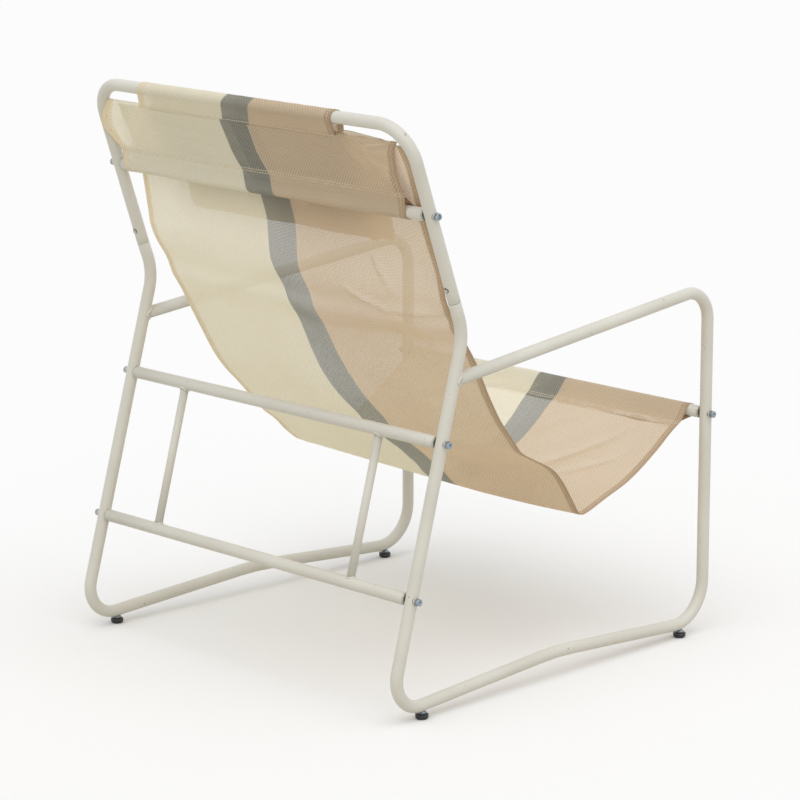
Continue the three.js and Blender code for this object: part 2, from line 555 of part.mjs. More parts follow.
// Above the knees it is given in shares of the hoop's length and of the standoff before it.
const BACK_SHARES = [
  [0.0315, 0.689], [0.1414, 0.152], [0.2276, 0.037], [0.355, 0.515], [0.4975, 0.889],
  [0.5886, 0.997],
];
const behind = V2(upDir.y, -upDir.x);
const hemLine = [
  ...SEAT_SHARES.map(([back, up]) => V2(FRONT_BAR.x + (KNEE.x - FRONT_BAR.x) * back,
    FRONT_BAR.y + (KNEE.y - FRONT_BAR.y) * up)),
  ...BACK_SHARES.map(([up, off]) => between(KNEE, HOOP_TOP, up).addScaledVector(behind, -BACK_STANDOFF * off)),
];
// Three layers meet at the stitching under the top bar: sheet, rear panel, end of the sleeve.
const sewn = HOOP_TOP.clone().addScaledVector(upDir, -SEW_DROP);
const shoulder = sewn.clone().addScaledVector(behind, -layer);

// Main sheet: pocket on the front bar, seat, back, and the narrow sleeve over the top bar.
{
  const rows = [];
  const put = (at, sag = 0, half = SHEET_HALF, shift = 0) => {
    rows.push({ at, sag, left: half + shift, right: shift - half });
  };
  const seatRun = hemLine[1].clone().sub(hemLine[0]).normalize();
  const inside = V2(seatRun.y, -seatRun.x).multiplyScalar(layer);
  const stitch = hemLine[0].clone().add(inside);
  put(stitch.clone().addScaledVector(seatRun, POCKET_TAIL), 0, POCKET_HALF, POCKET_SHIFT);
  put(stitch, 0, POCKET_HALF, POCKET_SHIFT);
  const under = meets(FRONT_BAR, stitch, -1);
  const over = meets(FRONT_BAR, hemLine[0], 1) - Math.PI * 2;
  for (const p of around(FRONT_BAR, under, over)) put(p, 0, POCKET_HALF, POCKET_SHIFT);
  const last = hemLine[hemLine.length - 1];
  hemLine.forEach((p, i) => {
    const share = i / (hemLine.length - 1);
    if (p === last) put(p, 0, SHEET_HALF, SHOULDER_SHIFT / 2);
    else put(p, SAG * Math.sin(Math.PI * Math.min(1, share / SAG_SHARE) / 2) * Math.min(1, 3 * (1 - share)));
  });
  put(between(last, shoulder, 0.55), 0, SHEET_HALF, SHOULDER_SHIFT);
  put(shoulder, 0, SHOULDER_HALF, SHOULDER_SHIFT);
  put(shoulder.clone().addScaledVector(upDir, CLOTH), 0, SLEEVE_HALF, SLEEVE_SHIFT);
  const tail = sewn.clone().addScaledVector(behind, layer);
  const front = meets(HOOP_TOP, shoulder, -1) + Math.PI * 2;
  const back = meets(HOOP_TOP, tail, 1);
  const wrap = around(HOOP_TOP, front, back);
  for (const p of wrap) put(p, 0, SLEEVE_HALF, SLEEVE_SHIFT);
  put(tail, 0, SLEEVE_HALF, SLEEVE_SHIFT + SLEEVE_SKEW);
  put(tail.clone().addScaledVector(upDir, -SEW_TAIL), 0, SLEEVE_HALF, SLEEVE_SHIFT + SLEEVE_SKEW);
  add("seat_sling", clothBody(rows, CLOTH), MESH);
}

// Rear panel: sewn under the sleeve, down the back of the hoop and round the back bar.
{
  const rows = [];
  const put = (at, left, right) => rows.push({ at, sag: 0, left, right: -right });
  const top = sewn.clone().addScaledVector(upDir, SEW_TAIL);
  const stitch = BACK_BAR.clone().addScaledVector(upDir, PANEL_STITCH);
  put(top, PANEL_LEFT - PANEL_HEM, PANEL_RIGHT);
  for (const share of [0.2, 0.4, 0.6, 0.8]) {
    put(between(top, stitch, share), PANEL_LEFT + PANEL_EAR * Math.sin(Math.PI * share), PANEL_RIGHT);
  }
  put(stitch, PANEL_LEFT, PANEL_RIGHT + PANEL_HEM);
  const tuck = stitch.clone().addScaledVector(behind, -layer);
  for (const p of around(BACK_BAR, meets(BACK_BAR, stitch, -1), meets(BACK_BAR, tuck, 1) - Math.PI * 2)) {
    put(p, PANEL_LEFT, PANEL_RIGHT + PANEL_HEM);
  }
  put(tuck, PANEL_LEFT, PANEL_RIGHT + PANEL_HEM);
  put(tuck.clone().addScaledVector(upDir, SEW_TAIL), PANEL_LEFT, PANEL_RIGHT + PANEL_HEM);
  add("rear_panel", clothBody(rows, CLOTH), MESH);
}

// Head pillow: two skins that swell apart from a seam, sewn in at the sleeve's stitching in
// front of the sheet. Its back lies flat on the sheet and its front bulges.
{
  const nx = PILLOW_WIDE_STEPS;
  const nz = PILLOW_HIGH_STEPS;
  const fallLine = [shoulder, ...hemLine.slice().reverse()];
  const down = hemLine[hemLine.length - 1].clone().sub(shoulder).normalize();
  const front = V2(down.y, -down.x);
  // The point on the sheet at a given distance down from the stitching.
  const onSheet = (distance) => {
    let left = distance;
    for (let i = 0; i < fallLine.length - 1; i++) {
      const run = fallLine[i].distanceTo(fallLine[i + 1]);
      if (left <= run) return between(fallLine[i], fallLine[i + 1], left / run);
      left -= run;
    }
    return fallLine[fallLine.length - 1].clone();
  };
  const stuffed = PILLOW_T / 2 - PILLOW_EDGE / 2;
  const positions = [];
  const cell = [];
  for (const face of [1, -1]) {
    for (let i = 0; i <= nz; i++) {
      for (let k = 0; k <= nx; k++) {
        const u = Math.sin(Math.PI / 2 * (2 * k / nx - 1));
        const v = Math.sin(Math.PI / 2 * (2 * i / nz - 1));
        const squeeze = (a) => 1 - PILLOW_ROUND_SHARE * Math.abs(a) ** PILLOW_SQUARE_POWER;
        const half = stuffed * ((1 - u ** 4) * (1 - v ** 2)) ** PILLOW_SWELL_POWER + PILLOW_EDGE / 2;
        const fullest = stuffed * (1 - v ** 2) ** PILLOW_SWELL_POWER + PILLOW_EDGE / 2;
        const fall = (v + 1) / 2;
        const lift = CLOTH / 2 + CLEAR + Math.max(fullest,
          PILLOW_EDGE / 2 + PILLOW_T / 2 * Math.sin(Math.PI / 2 * Math.min(1, fall * 1.7)));
        const at = onSheet(PILLOW_H * fall * squeeze(u)).addScaledVector(front, lift + face * half);
        positions.push(PILLOW_X + PILLOW_HALF * u * squeeze(v), at.x, at.y);
      }
    }
  }
  add("head_pillow", closedGrid(positions, nz, nx), LINEN);
}

// The chair stands on the floor with its bounding box centred on the axes.
const box = new THREE.Box3().setFromObject(chair);
const middle = box.getCenter(new THREE.Vector3());
for (const mesh of chair.children) mesh.geometry.translate(-middle.x, -middle.y, -box.min.z);

export default chair;
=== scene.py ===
# A sling patio chair of bent, painted tube with a striped mesh sheet, seen from behind its right
# shoulder. Metres, +Z up, the sitter faces -Y and has +X on the left.

import math

import bpy
import numpy as np
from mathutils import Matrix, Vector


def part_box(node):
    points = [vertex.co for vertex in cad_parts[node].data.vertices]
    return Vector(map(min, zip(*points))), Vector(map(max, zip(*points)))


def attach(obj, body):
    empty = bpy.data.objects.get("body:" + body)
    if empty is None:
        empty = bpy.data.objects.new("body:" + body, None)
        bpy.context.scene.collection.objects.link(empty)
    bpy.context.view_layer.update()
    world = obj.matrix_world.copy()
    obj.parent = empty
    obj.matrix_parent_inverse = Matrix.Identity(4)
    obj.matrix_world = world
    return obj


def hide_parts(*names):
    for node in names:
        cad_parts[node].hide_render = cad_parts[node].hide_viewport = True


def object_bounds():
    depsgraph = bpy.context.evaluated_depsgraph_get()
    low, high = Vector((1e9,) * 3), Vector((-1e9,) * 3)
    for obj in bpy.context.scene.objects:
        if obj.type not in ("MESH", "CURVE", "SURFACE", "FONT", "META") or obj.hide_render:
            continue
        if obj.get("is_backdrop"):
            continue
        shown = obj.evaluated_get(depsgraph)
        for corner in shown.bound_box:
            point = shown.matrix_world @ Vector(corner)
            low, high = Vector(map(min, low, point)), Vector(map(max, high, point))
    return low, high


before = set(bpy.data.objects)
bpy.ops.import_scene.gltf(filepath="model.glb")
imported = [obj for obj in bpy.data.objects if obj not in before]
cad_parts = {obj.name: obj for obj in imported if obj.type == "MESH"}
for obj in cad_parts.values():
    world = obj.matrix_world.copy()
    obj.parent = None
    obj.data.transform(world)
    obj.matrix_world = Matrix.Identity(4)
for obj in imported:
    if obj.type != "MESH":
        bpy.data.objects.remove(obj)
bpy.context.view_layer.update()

# The camera stands behind the chair and to the sitter's right, a little above its top, and looks
# slightly down. Its place and lens come from the vanishing lines of the frame.
CAMERA_AT = (-3.5910, 3.4984, 1.4865)
CAMERA_DOWN = 12.712
CAMERA_TURN = -134.254
LENS = 155.8
SENSOR = 36.0
VIEW_FAR = 60



def placed(name, data):
    """A new object of the scene around a camera, a lamp or a mesh."""
    made = bpy.data.objects.new(name, data)
    bpy.context.scene.collection.objects.link(made)
    return made


camera = placed("camera", bpy.data.cameras.new("camera"))
camera.data.lens = LENS
camera.data.sensor_width = SENSOR
camera.data.clip_end = VIEW_FAR
camera.location = CAMERA_AT
camera.rotation_euler = (math.radians(90 - CAMERA_DOWN), 0, math.radians(CAMERA_TURN))
bpy.context.scene.camera = camera
bpy.context.scene.view_settings.view_transform = "Standard"


# The studio is a pale floor under a plain white sky with one very soft lamp high overhead. To the
# camera and to reflections the sky is pure white, and it lights the chair more weakly than that.
SKY = 0.62
SUN = 1.25
SUN_SOFTNESS = math.radians(75)
SUN_TILT = (math.radians(-16), math.radians(-22), 0)
FLOOR_HALF = 30.0
FLOOR_BOUNCE = (0.69, 0.66, 0.58, 1)
WHITE = (1, 1, 1, 1)


class Wire:
    """One link in a material's node tree. Sums and products of wires and numbers add Math
    nodes, and node() adds any other kind."""

    def __init__(self, tree, socket=None):
        self.tree = tree
        self.socket = socket

    def node(self, kind, settings, inputs, out=0):
        """Adds a node: its settings come first, then each socket's number, colour or wire."""
        made = self.tree.nodes.new(kind)
        for name, value in settings.items():
            setattr(made, name, value)
        for name, value in inputs.items():
            if isinstance(value, Wire):
                self.tree.links.new(made.inputs[name], value.socket)
            else:
                made.inputs[name].default_value = value
        return Wire(self.tree, made.outputs[out])

    def math(self, operation, *values):
        """A Math node on this wire and on the numbers or wires that follow."""
        inputs = dict(enumerate([self, *values]))
        return self.node("ShaderNodeMath", {"operation": operation}, inputs)

    def __add__(self, other):
        return self.math("ADD", other)

    def __mul__(self, other):
        return self.math("MULTIPLY", other)

    def __sub__(self, other):
        return self.math("SUBTRACT", other)

    def __rsub__(self, other):
        return self * -1 + other

    def __truediv__(self, other):
        return self.math("DIVIDE", other)

    __radd__ = __add__
    __rmul__ = __mul__

    def between(self, low, high):
        """A smooth step from 0 at the low value to 1 at the high one."""
        return self.node(
            "ShaderNodeMapRange",
            {"interpolation_type": "SMOOTHSTEP"},
            {"Value": self, "From Min": low, "From Max": high},
        )

    def noise(self, scale, detail):
        """Cloudy noise over this wire's coordinates, so many waves to the metre."""
        return self.node(
            "ShaderNodeTexNoise", {}, {"Vector": self, "Scale": scale, "Detail": detail}
        )

    def mixed(self, first, second):
        """The first colour where this mask is 0 and the second where it is 1."""
        return self.node(
            "ShaderNodeMix", {"data_type": "RGBA"}, {0: self, 6: first, 7: second}, out=2
        )

    def bump(self, height, strength):
        """A normal from this wire as a height, which at 1 stands so many metres up."""
        return self.node(
            "ShaderNodeBump", {}, {"Height": self, "Distance": height, "Strength": strength}
        )


def new_finish(name):
    """A material with its node tree cleared, and a wire to start from."""
    finish = bpy.data.materials.new(name)
    finish.use_nodes = True
    finish.node_tree.nodes.clear()
    return finish, Wire(finish.node_tree)


def shown(finish, shader):
    """Joins the last shader to the material's output."""
    out = finish.node_tree.nodes.new("ShaderNodeOutputMaterial")
    finish.node_tree.links.new(out.inputs["Surface"], shader.socket)
    return finish


def seen_directly(wire):
    """1 for rays from the camera, a reflection or a clear pane, and 0 for light that bounces."""
    first, second, third = (
        wire.node("ShaderNodeLightPath", {}, {}, out=ray)
        for ray in ("Is Camera Ray", "Is Glossy Ray", "Is Transmission Ray")
    )
    return first.math("MAXIMUM", second.math("MAXIMUM", third))


world = bpy.data.worlds.new("studio")
bpy.context.scene.world = world
world.use_nodes = True
world.node_tree.nodes.clear()
sky = Wire(world.node_tree)
direct = seen_directly(sky)
glow = sky.node(
    "ShaderNodeBackground", {}, {"Color": WHITE, "Strength": direct * (1 - SKY) + SKY}
)
sky_out = world.node_tree.nodes.new("ShaderNodeOutputWorld")
world.node_tree.links.new(sky_out.inputs["Surface"], glow.socket)

lamp = placed("overhead_lamp", bpy.data.lights.new("overhead_lamp", "SUN"))
lamp.data.energy = SUN
lamp.data.angle = SUN_SOFTNESS
lamp.rotation_euler = SUN_TILT

corner = np.array([[-1, -1, 0], [1, -1, 0], [1, 1, 0], [-1, 1, 0]]) * FLOOR_HALF
floor_mesh = bpy.data.meshes.new("floor")
floor_mesh.from_pydata(corner.tolist(), [], [(0, 1, 2, 3)])
floor = placed("floor", floor_mesh)
floor_finish, wire = new_finish("studio_floor")
floor_colour = seen_directly(wire).mixed(FLOOR_BOUNCE, WHITE)
floor_mesh.materials.append(shown(floor_finish, wire.node(
    "ShaderNodeBsdfDiffuse", {}, {"Color": floor_colour}
)))
floor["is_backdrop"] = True


# The side frames are one bent steel tube each, 18 mm across: from the weld under the back, along
# the armrest, down the front leg, back along the floor and up behind to the plug-in joint. They
# are powder coated in a warm white, a little uneven, with a few rubbed specks.
TUBE = 0.009
BORE = 0.0075
SIDES = 48
TURN_STEP = math.radians(3)
DEPTH = 0.670
HALF_WIDTH = 0.328
TOE_IN = math.radians(1.27)
BENDS = (0.044, 0.062, 0.500, 0.044, 0.080)
RIM = 0.0005
MOUTH = 0.012
BEAD = 0.0016
BEAD_SIDES = 12
BEAD_LUMPS = 0.12
COAT_DULL = (0.705, 0.685, 0.612, 1)
COAT_CLEAN = (0.745, 0.730, 0.662, 1)
GRIME = (0.30, 0.26, 0.19, 1)
BOTH = ((1, "left"), (-1, "right"))

bar_low, bar_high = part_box("front_seat_bar")
FRONT_LEG = (bar_low.y + bar_high.y) / 2
FRONT_BAR = np.array([FRONT_LEG, (bar_low.z + bar_high.z) / 2])
HEEL = np.array([FRONT_LEG + DEPTH, 0.0158])
ARM_FRONT = np.array([FRONT_LEG, 0.527])
TOE = np.array([FRONT_LEG, 0.0164])
RAIL_BEND = np.array([HEEL[0] - 0.51 * DEPTH, 0.038])
KNEE = np.array([HEEL[0] - 0.1447, 0.5324])
HOOP_TOP = np.array([HEEL[0] - 0.0341, 0.8286])
ARM_JOIN = HEEL + 0.8785 * (KNEE - HEEL)
SEAM = KNEE + 0.1570 * (HOOP_TOP - KNEE)


def unit(vectors):
    """Vectors divided by their lengths, along the last axis."""
    return vectors / np.linalg.norm(vectors, axis=-1, keepdims=True)


def bent(corners, radii):
    """The centre line of a bent tube. At each inner corner the two runs are joined by an arc of
    the given radius that touches both, with a point for every few degrees of turn."""
    corners = np.asarray(corners, float)
    line = [corners[:1]]
    for before, corner, after, radius in zip(corners, corners[1:], corners[2:], radii):
        come, go = unit(corner - before), unit(after - corner)
        turn = math.acos(np.clip(come @ go, -1, 1))
        start = corner - come * radius * math.tan(turn / 2)
        inward = unit(go - come * (come @ go))
        angle = np.linspace(0, turn, max(3, math.ceil(turn / TURN_STEP)))[:, None]
        line.append(start + radius * (inward * (1 - np.cos(angle)) + come * np.sin(angle)))
    return np.concatenate([*line, corners[-1:]])


def mesh_piece(name, points, quads, polygons, uv=None):
    """Puts arrays of points and faces into a new mesh object, smooth, with an optional UV map
    that gives one pair of numbers for each point."""
    mesh = bpy.data.meshes.new(name)
    mesh.from_pydata(points.reshape(-1, 3).tolist(), [], [*quads.tolist(), *polygons])
    mesh.polygons.foreach_set("use_smooth", [True] * len(mesh.polygons))
    if uv is not None:
        vertex = np.zeros(len(mesh.loops), np.int32)
        mesh.loops.foreach_get("vertex_index", vertex)
        layer = mesh.uv_layers.new(name="UVMap")
        layer.data.foreach_set("uv", uv.reshape(-1, 2)[vertex].astype(np.float32).ravel())
    mesh.update()
    return placed(name, mesh)


def coordinates(mesh):
    """The places of a mesh's points as an array."""
    points = np.zeros(len(mesh.vertices) * 3, np.float32)
    mesh.vertices.foreach_get("co", points)
    return points.reshape(-1, 3).astype(float)


def face_out(piece):
    """Turns a closed mesh right side out: the sum of its corner volumes has to be positive."""
    mesh = piece.data
    mesh.calc_loop_triangles()
    corners = np.zeros(len(mesh.loop_triangles) * 3, np.int32)
    mesh.loop_triangles.foreach_get("vertices", corners)
    a, b, c = coordinates(mesh)[corners.reshape(-1, 3)].transpose(1, 0, 2)
    if np.einsum("ij,ij->", a, np.cross(b, c)) < 0:
        mesh.flip_normals()
    return piece


def skin(name, rings, uv=None, loop=False):
    """A closed surface over a grid of rings: each ring closes on itself, neighbours are joined
    by quads, and the two ends get a cap, or meet each other where the rings make a loop."""
    count, around = rings.shape[:2]
    ring = np.arange(count if loop else count - 1)[:, None]
    step = np.arange(around)[None, :]
    following = (ring + 1) % count
    a, b = ring * around + step, ring * around + (step + 1) % around
    c, d = following * around + (step + 1) % around, following * around + step
    quads = np.stack([a, b, c, d], -1).reshape(-1, 4)
    last = (count - 1) * around
    caps = [] if loop else [list(range(around))[::-1], list(range(last, last + around))]
    return face_out(mesh_piece(name, rings, quads, caps, uv))


def spread(along, side, radius):
    """Points of a circle round a line: the side vector turned once about the line's direction."""
    angle = np.linspace(0, 2 * math.pi, SIDES, endpoint=False)[:, None]
    lift = np.cross(along, side)
    return radius * (np.cos(angle) * side + np.sin(angle) * lift[..., None, :])


def tube_rings(line, side, radius, bore, open_ends):
    """A tube's rings along a line in a plane, square to it, with side the plane's unit normal.
    An open end goes on over its rounded rim and back down a blind bore."""
    along = unit(np.gradient(line, axis=0))
    radii = np.full(len(line), radius)
    steps = np.array([RIM, 0, 0, RIM, MOUTH])
    lip = np.array([radius, radius - RIM, bore + RIM, bore, bore])
    if open_ends[1]:
        line = np.concatenate([line[:-1], line[-1] - steps[:, None] * along[-1]])
        radii = np.concatenate([radii[:-1], lip])
        along = np.concatenate([along[:-1], np.repeat(along[-1:], len(steps), 0)])
    if open_ends[0]:
        line = np.concatenate([line[0] + steps[::-1, None] * along[0], line[1:]])
        radii = np.concatenate([lip[::-1], radii[1:]])
        along = np.concatenate([np.repeat(along[:1], len(steps), 0), along[1:]])
    return line[:, None] + spread(along, side, 1.0) * radii[:, None, None]


def saddle(at, along, side, post, radius, wall):
    """The rim of a tube that stands on a round post, starting at the post's middle. For each
    angle round the tube it is the point where its wall leaves the post's wall."""
    across = unit(along - post * (along @ post))
    circle = spread(along, side, radius)
    reach = np.sqrt(np.maximum(wall**2 - (circle @ np.cross(post, across)) ** 2, 0))
    return at + circle + ((reach - circle @ across) / (along @ across))[:, None] * along


def weld_rings(at, along, side, post, radius, wall):
    """A weld bead: a small round cord laid along the rim where two tubes meet, with the faint
    even lumps of its passes."""
    centre = saddle(at, along, side, post, radius + BEAD * 0.4, wall + BEAD * 0.2)
    forward = unit(np.roll(centre, -1, 0) - np.roll(centre, 1, 0))
    outward = unit(centre - centre.mean(0))
    upward = np.cross(forward, outward)
    turn = np.linspace(0, 2 * math.pi, BEAD_SIDES, endpoint=False)[None, :, None]
    lumps = BEAD * (1 + BEAD_LUMPS * np.sin(np.arange(SIDES) * math.pi / 2)[:, None, None])
    circle = np.cos(turn) * outward[:, None] + np.sin(turn) * upward[:, None]
    return centre[:, None] + lumps * circle


def on_side(outline, side):
    """Stands a side outline up in its plane, which turns in towards the front."""
    away = outline[..., 0] - SEAM[0]
    x = side * (HALF_WIDTH + away * math.sin(TOE_IN))
    return np.stack([x, SEAM[0] + away * math.cos(TOE_IN), outline[..., 1]], -1)


def surface(name, sockets, *values):
    """A finish with one plain shader. The given function returns what goes into its sockets,
    from the object's own coordinates and from any values."""
    finish, wire = new_finish(name)
    place = wire.node("ShaderNodeTexCoord", {}, {}, out="Object")
    return shown(finish, wire.node("ShaderNodeBsdfPrincipled", {}, sockets(place, *values)))


def white_paint(place):
    """Powder coat: warm white, faintly uneven, with the fine orange peel of baked powder and a
    few small rubbed places where grime shows."""
    cloud = place.noise(9.0, 3.0)
    speck = place.noise(140.0, 2.0).between(0.735, 0.76)
    coat = cloud.between(0.35, 0.65).mixed(COAT_DULL, COAT_CLEAN)
    peel = place.noise(1300.0, 1.0) + place.noise(420.0, 1.0) * 0.7
    return {
        "Base Color": (speck * 0.55).mixed(coat, GRIME),
        "Roughness": cloud * 0.12 + 0.36,
        "Normal": peel.bump(0.00003, 0.6),
        "Specular IOR Level": 0.42,
    }


PAINT = surface("white_powder_coat", white_paint)


def fitted(piece, finish, body, slot, *nodes):
    """Gives a piece its finish and its body, and sets it in place of CAD nodes."""
    piece.data.materials.append(finish)
    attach(piece, body)
    if nodes:
        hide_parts(*nodes)


for side, word in BOTH:
    outline = np.array([ARM_JOIN, ARM_FRONT, TOE, RAIL_BEND, HEEL, KNEE, SEAM])
    line = on_side(bent(outline, BENDS), side)
    post, arm = unit(on_side(KNEE, side) - on_side(HEEL, side)), unit(line[1] - line[0])
    flat_normal = unit(np.cross(post, arm))
    rings = tube_rings(line, flat_normal, TUBE, BORE, (False, True))
    rings[0] = saddle(line[0], arm, flat_normal, post, TUBE, TUBE - RIM)
    tube = skin(f"side_tube_{word}", rings)
    fitted(tube, PAINT, "chair", "frame_paint", f"side_frame_{word}")
    bead = weld_rings(line[0], arm, flat_normal, post, TUBE, TUBE)
    fitted(skin(f"arm_weld_{word}", bead, loop=True), PAINT, "chair", "frame_paint")


# The back hoop is one bent tube, an upside-down U that plugs on the two side frames just over
# the knees. Its legs draw in a little towards the top, which has settled to the sitter's right,
# and a sprung button locks each.
HOOP_BEND = 0.054
HOOP_TAPER = 0.0035
HOOP_LEAN = 0.0064
SEAM_GAP = 0.0004
NEAR_BUTTON = (0.014, 0.032)
UP = unit(HOOP_TOP - KNEE)
BEHIND = np.array([UP[1], -UP[0]])
hoop_run = np.linalg.norm(HOOP_TOP - SEAM)


def on_hoop(point, side):
    """A point of the side outline as a place on the middle of the hoop's leg."""
    rise = (point - SEAM) @ UP / hoop_run
    return np.array([side * (HALF_WIDTH - HOOP_TAPER * rise) - HOOP_LEAN * rise, *point])


corners = [on_hoop(SEAM + SEAM_GAP * UP, 1), on_hoop(HOOP_TOP, 1),
           on_hoop(HOOP_TOP, -1), on_hoop(SEAM + SEAM_GAP * UP, -1)]
line = bent(corners, (HOOP_BEND, HOOP_BEND))
near = [[on_hoop(SEAM + up * UP, side) for up in NEAR_BUTTON] for side in (1, -1)]
line = np.concatenate([line[:1], near[0], line[1:-1], near[1][::-1], line[-1:]])
hoop = skin("hoop_tube", tube_rings(line, np.array([0, *BEHIND]), TUBE, BORE, (True, True)))
fitted(hoop, PAINT, "chair", "frame_paint", "back_hoop")


# Four straight tubes cross between the side frames, each held at both ends by a screw into a
# plug. Two thinner struts are welded between the rear pair and make a ladder of it.
STRUT = 0.006
STRUT_BORE = 0.0048
CROSS = np.array([1.0, 0, 0])
BACKWARD = np.array([0, 1.0, 0])

middle = {}
for name in ("upper_back_bar", "rear_upper_rail", "rear_lower_rail", "front_seat_bar"):
    low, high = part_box(name)
    middle[name] = np.array((low + high) / 2)
    line = middle[name] + np.array([[-0.5], [0.5]]) * (high.x - low.x) * CROSS
    bar = skin(f"{name}_tube", tube_rings(line, BACKWARD, TUBE, BORE, (True, True)))
    fitted(bar, PAINT, "chair", "frame_paint", name)

for side, word in BOTH:
    low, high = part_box(f"rear_strut_{word}")
    offset = CROSS * (low.x + high.x) / 2
    foot, head = middle["rear_lower_rail"] + offset, middle["rear_upper_rail"] + offset
    run = unit(head - foot)
    rings = tube_rings(np.array([foot, head]), CROSS, STRUT, STRUT_BORE, (False, False))
    rings[0] = saddle(foot, run, CROSS, CROSS, STRUT, TUBE - RIM)
    rings[-1] = saddle(head, -run, CROSS, CROSS, STRUT, TUBE - RIM)[np.r_[0, SIDES - 1:0:-1]]
    strut = skin(f"strut_{word}", rings)
    fitted(strut, PAINT, "chair", "frame_paint", f"rear_strut_{word}")
    for end, at, way in (("foot", foot, run), ("head", head, -run)):
        bead = weld_rings(at, way, CROSS, CROSS, STRUT, TUBE)
        weld = skin(f"strut_weld_{end}_{word}", bead, loop=True)
        fitted(weld, PAINT, "chair", "frame_paint")


# Each bar ends in a zinc plug. A socket screw goes through the side tube into it, over a washer
# that is hollowed underneath to sit on the round tube.
HEX = 0.0025
HEX_DEPTH = 0.0034
SCREW = 0.003
HEAD = 0.005
HEAD_HIGH = 0.006
SCREW_LONG = 0.0240
WASHER = 0.006
WASHER_MID = 0.0014
EDGE = 0.0004
PLUG = 0.0069
PLUG_LONG = 0.020
FLANGE = 0.0019
FIT = 0.0001
DISHED = (SCREW + EDGE, 0.0042, 0.0052, WASHER)
STAIN = (0.72, 0.70, 0.64)

# The angles of a turned part's columns, and the radius of the screw's six-sided socket at each.
turn = np.linspace(0, 2 * math.pi, SIDES, endpoint=False)
hexagon = HEX / np.cos((turn + math.pi / 6) % (math.pi / 3) - math.pi / 6)


def turned(name, profile, at, axis, side, loop=False):
    """A turned part: pairs of radius and height along an axis from a point. Either can be an
    array with a number for each column, counted round from the side vector."""
    radii, heights = (np.stack([np.broadcast_to(pair[k], SIDES) for pair in profile])
                      for k in (0, 1))
    circle = spread(axis, side, 1.0)
    return skin(name, at + radii[..., None] * circle + heights[..., None] * axis, loop=loop)


def plated(place, colour, rough):
    """Bright zinc plate, a little cloudy, duller in patches and faintly scratched."""
    cloud = place.noise(260.0, 3.0)
    stained = tuple(channel * share for channel, share in zip(colour, STAIN))
    return {
        "Base Color": cloud.between(0.4, 0.75).mixed((*colour, 1), (*stained, 1)),
        "Metallic": 1.0,
        "Roughness": cloud * 0.25 + rough,
        "Normal": place.noise(2600.0, 2.0).bump(0.00002, 0.5),
    }


ZINC = surface("zinc_plate", plated, (0.34, 0.40, 0.45), 0.24)
DULL_ZINC = surface("dull_zinc_plate", plated, (0.56, 0.54, 0.49), 0.42)
SPRING = surface("spring_steel", plated, (0.40, 0.41, 0.43), 0.30)

UPRIGHT = unit(KNEE - HEEL)
runs = {"upper_back_bar": UP, "rear_upper_rail": UPRIGHT, "rear_lower_rail": UPRIGHT,
        "front_seat_bar": np.array([0, 1.0])}
for name, run in runs.items():
    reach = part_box(f"{name}_washer_left")[1].x - middle[name][0] - WASHER_MID - TUBE - 2 * FIT
    bar_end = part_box(name)[1].x - middle[name][0]
    for side, word in BOTH:
        outward, run_of_tube = side * CROSS, np.array([0, *run])
        tube_at = middle[name] + reach * outward
        over = TUBE + FIT
        top = over + WASHER_MID
        under = [(r, np.sqrt(over**2 - (r * np.sin(turn)) ** 2)) for r in DISHED]
        washer = turned(f"washer_{name}_{word}", [
            *under, (WASHER, top - EDGE), (WASHER - EDGE, top), (SCREW + 2 * EDGE, top),
            (SCREW + EDGE, top - EDGE)], tube_at, outward, run_of_tube, loop=True)
        fitted(washer, DULL_ZINC, "chair", "zinc_steel", f"{name}_washer_{word}")
        screw = turned(f"screw_{name}_{word}", [
            (SCREW - 2 * EDGE, -SCREW_LONG), (SCREW, -SCREW_LONG + 2 * EDGE), (SCREW, 0),
            (HEAD - EDGE / 2, 0), (HEAD, EDGE / 2), (HEAD, HEAD_HIGH - 2 * EDGE),
            (HEAD - EDGE / 2, HEAD_HIGH - EDGE / 2), (HEAD - 1.5 * EDGE, HEAD_HIGH),
            (hexagon + EDGE / 2, HEAD_HIGH), (hexagon, HEAD_HIGH - EDGE / 2),
            (hexagon, HEAD_HIGH - HEX_DEPTH), (hexagon * 0.2, HEAD_HIGH - HEX_DEPTH - EDGE)],
            tube_at + (top + FIT) * outward, outward, run_of_tube)
        fitted(screw, ZINC, "chair", "zinc_steel", f"{name}_bolt_{word}")
        plug = turned(f"plug_{name}_{word}", [
            (SCREW + EDGE, -PLUG_LONG), (PLUG, -PLUG_LONG), (PLUG, 2 * FIT),
            (TUBE - EDGE, 2 * FIT), (TUBE - EDGE / 4, EDGE), (TUBE - EDGE / 4, FLANGE - EDGE),
            (TUBE - EDGE, FLANGE), (SCREW + EDGE, FLANGE)],
            middle[name] + bar_end * outward, outward, run_of_tube, loop=True)
        fitted(plug, DULL_ZINC, "chair", "zinc_steel", f"{name}_insert_{word}")


# Four levelling feet: a rivet nut in the floor rail, a threaded stud with a collar, and a black
# plastic pad with fluted sides that screws up and down with it.
PAD = 0.0095
PAD_BASE = 0.0072
PAD_HIGH = 0.0076
PAD_TAPER = 0.0026
FLUTES = 18
FLUTE_DEPTH = 0.0007
THREAD_PITCH = 0.0010
THREAD_DEPTH = 0.00055
COLLAR = 0.005
COLLAR_HIGH = 0.0012
NUT = 0.0043
NUT_FLANGE = 0.0065
NUT_FLANGE_HIGH = 0.0012
PLASTIC = (0.018, 0.018, 0.017, 1)
DUST = (0.17, 0.16, 0.14, 1)


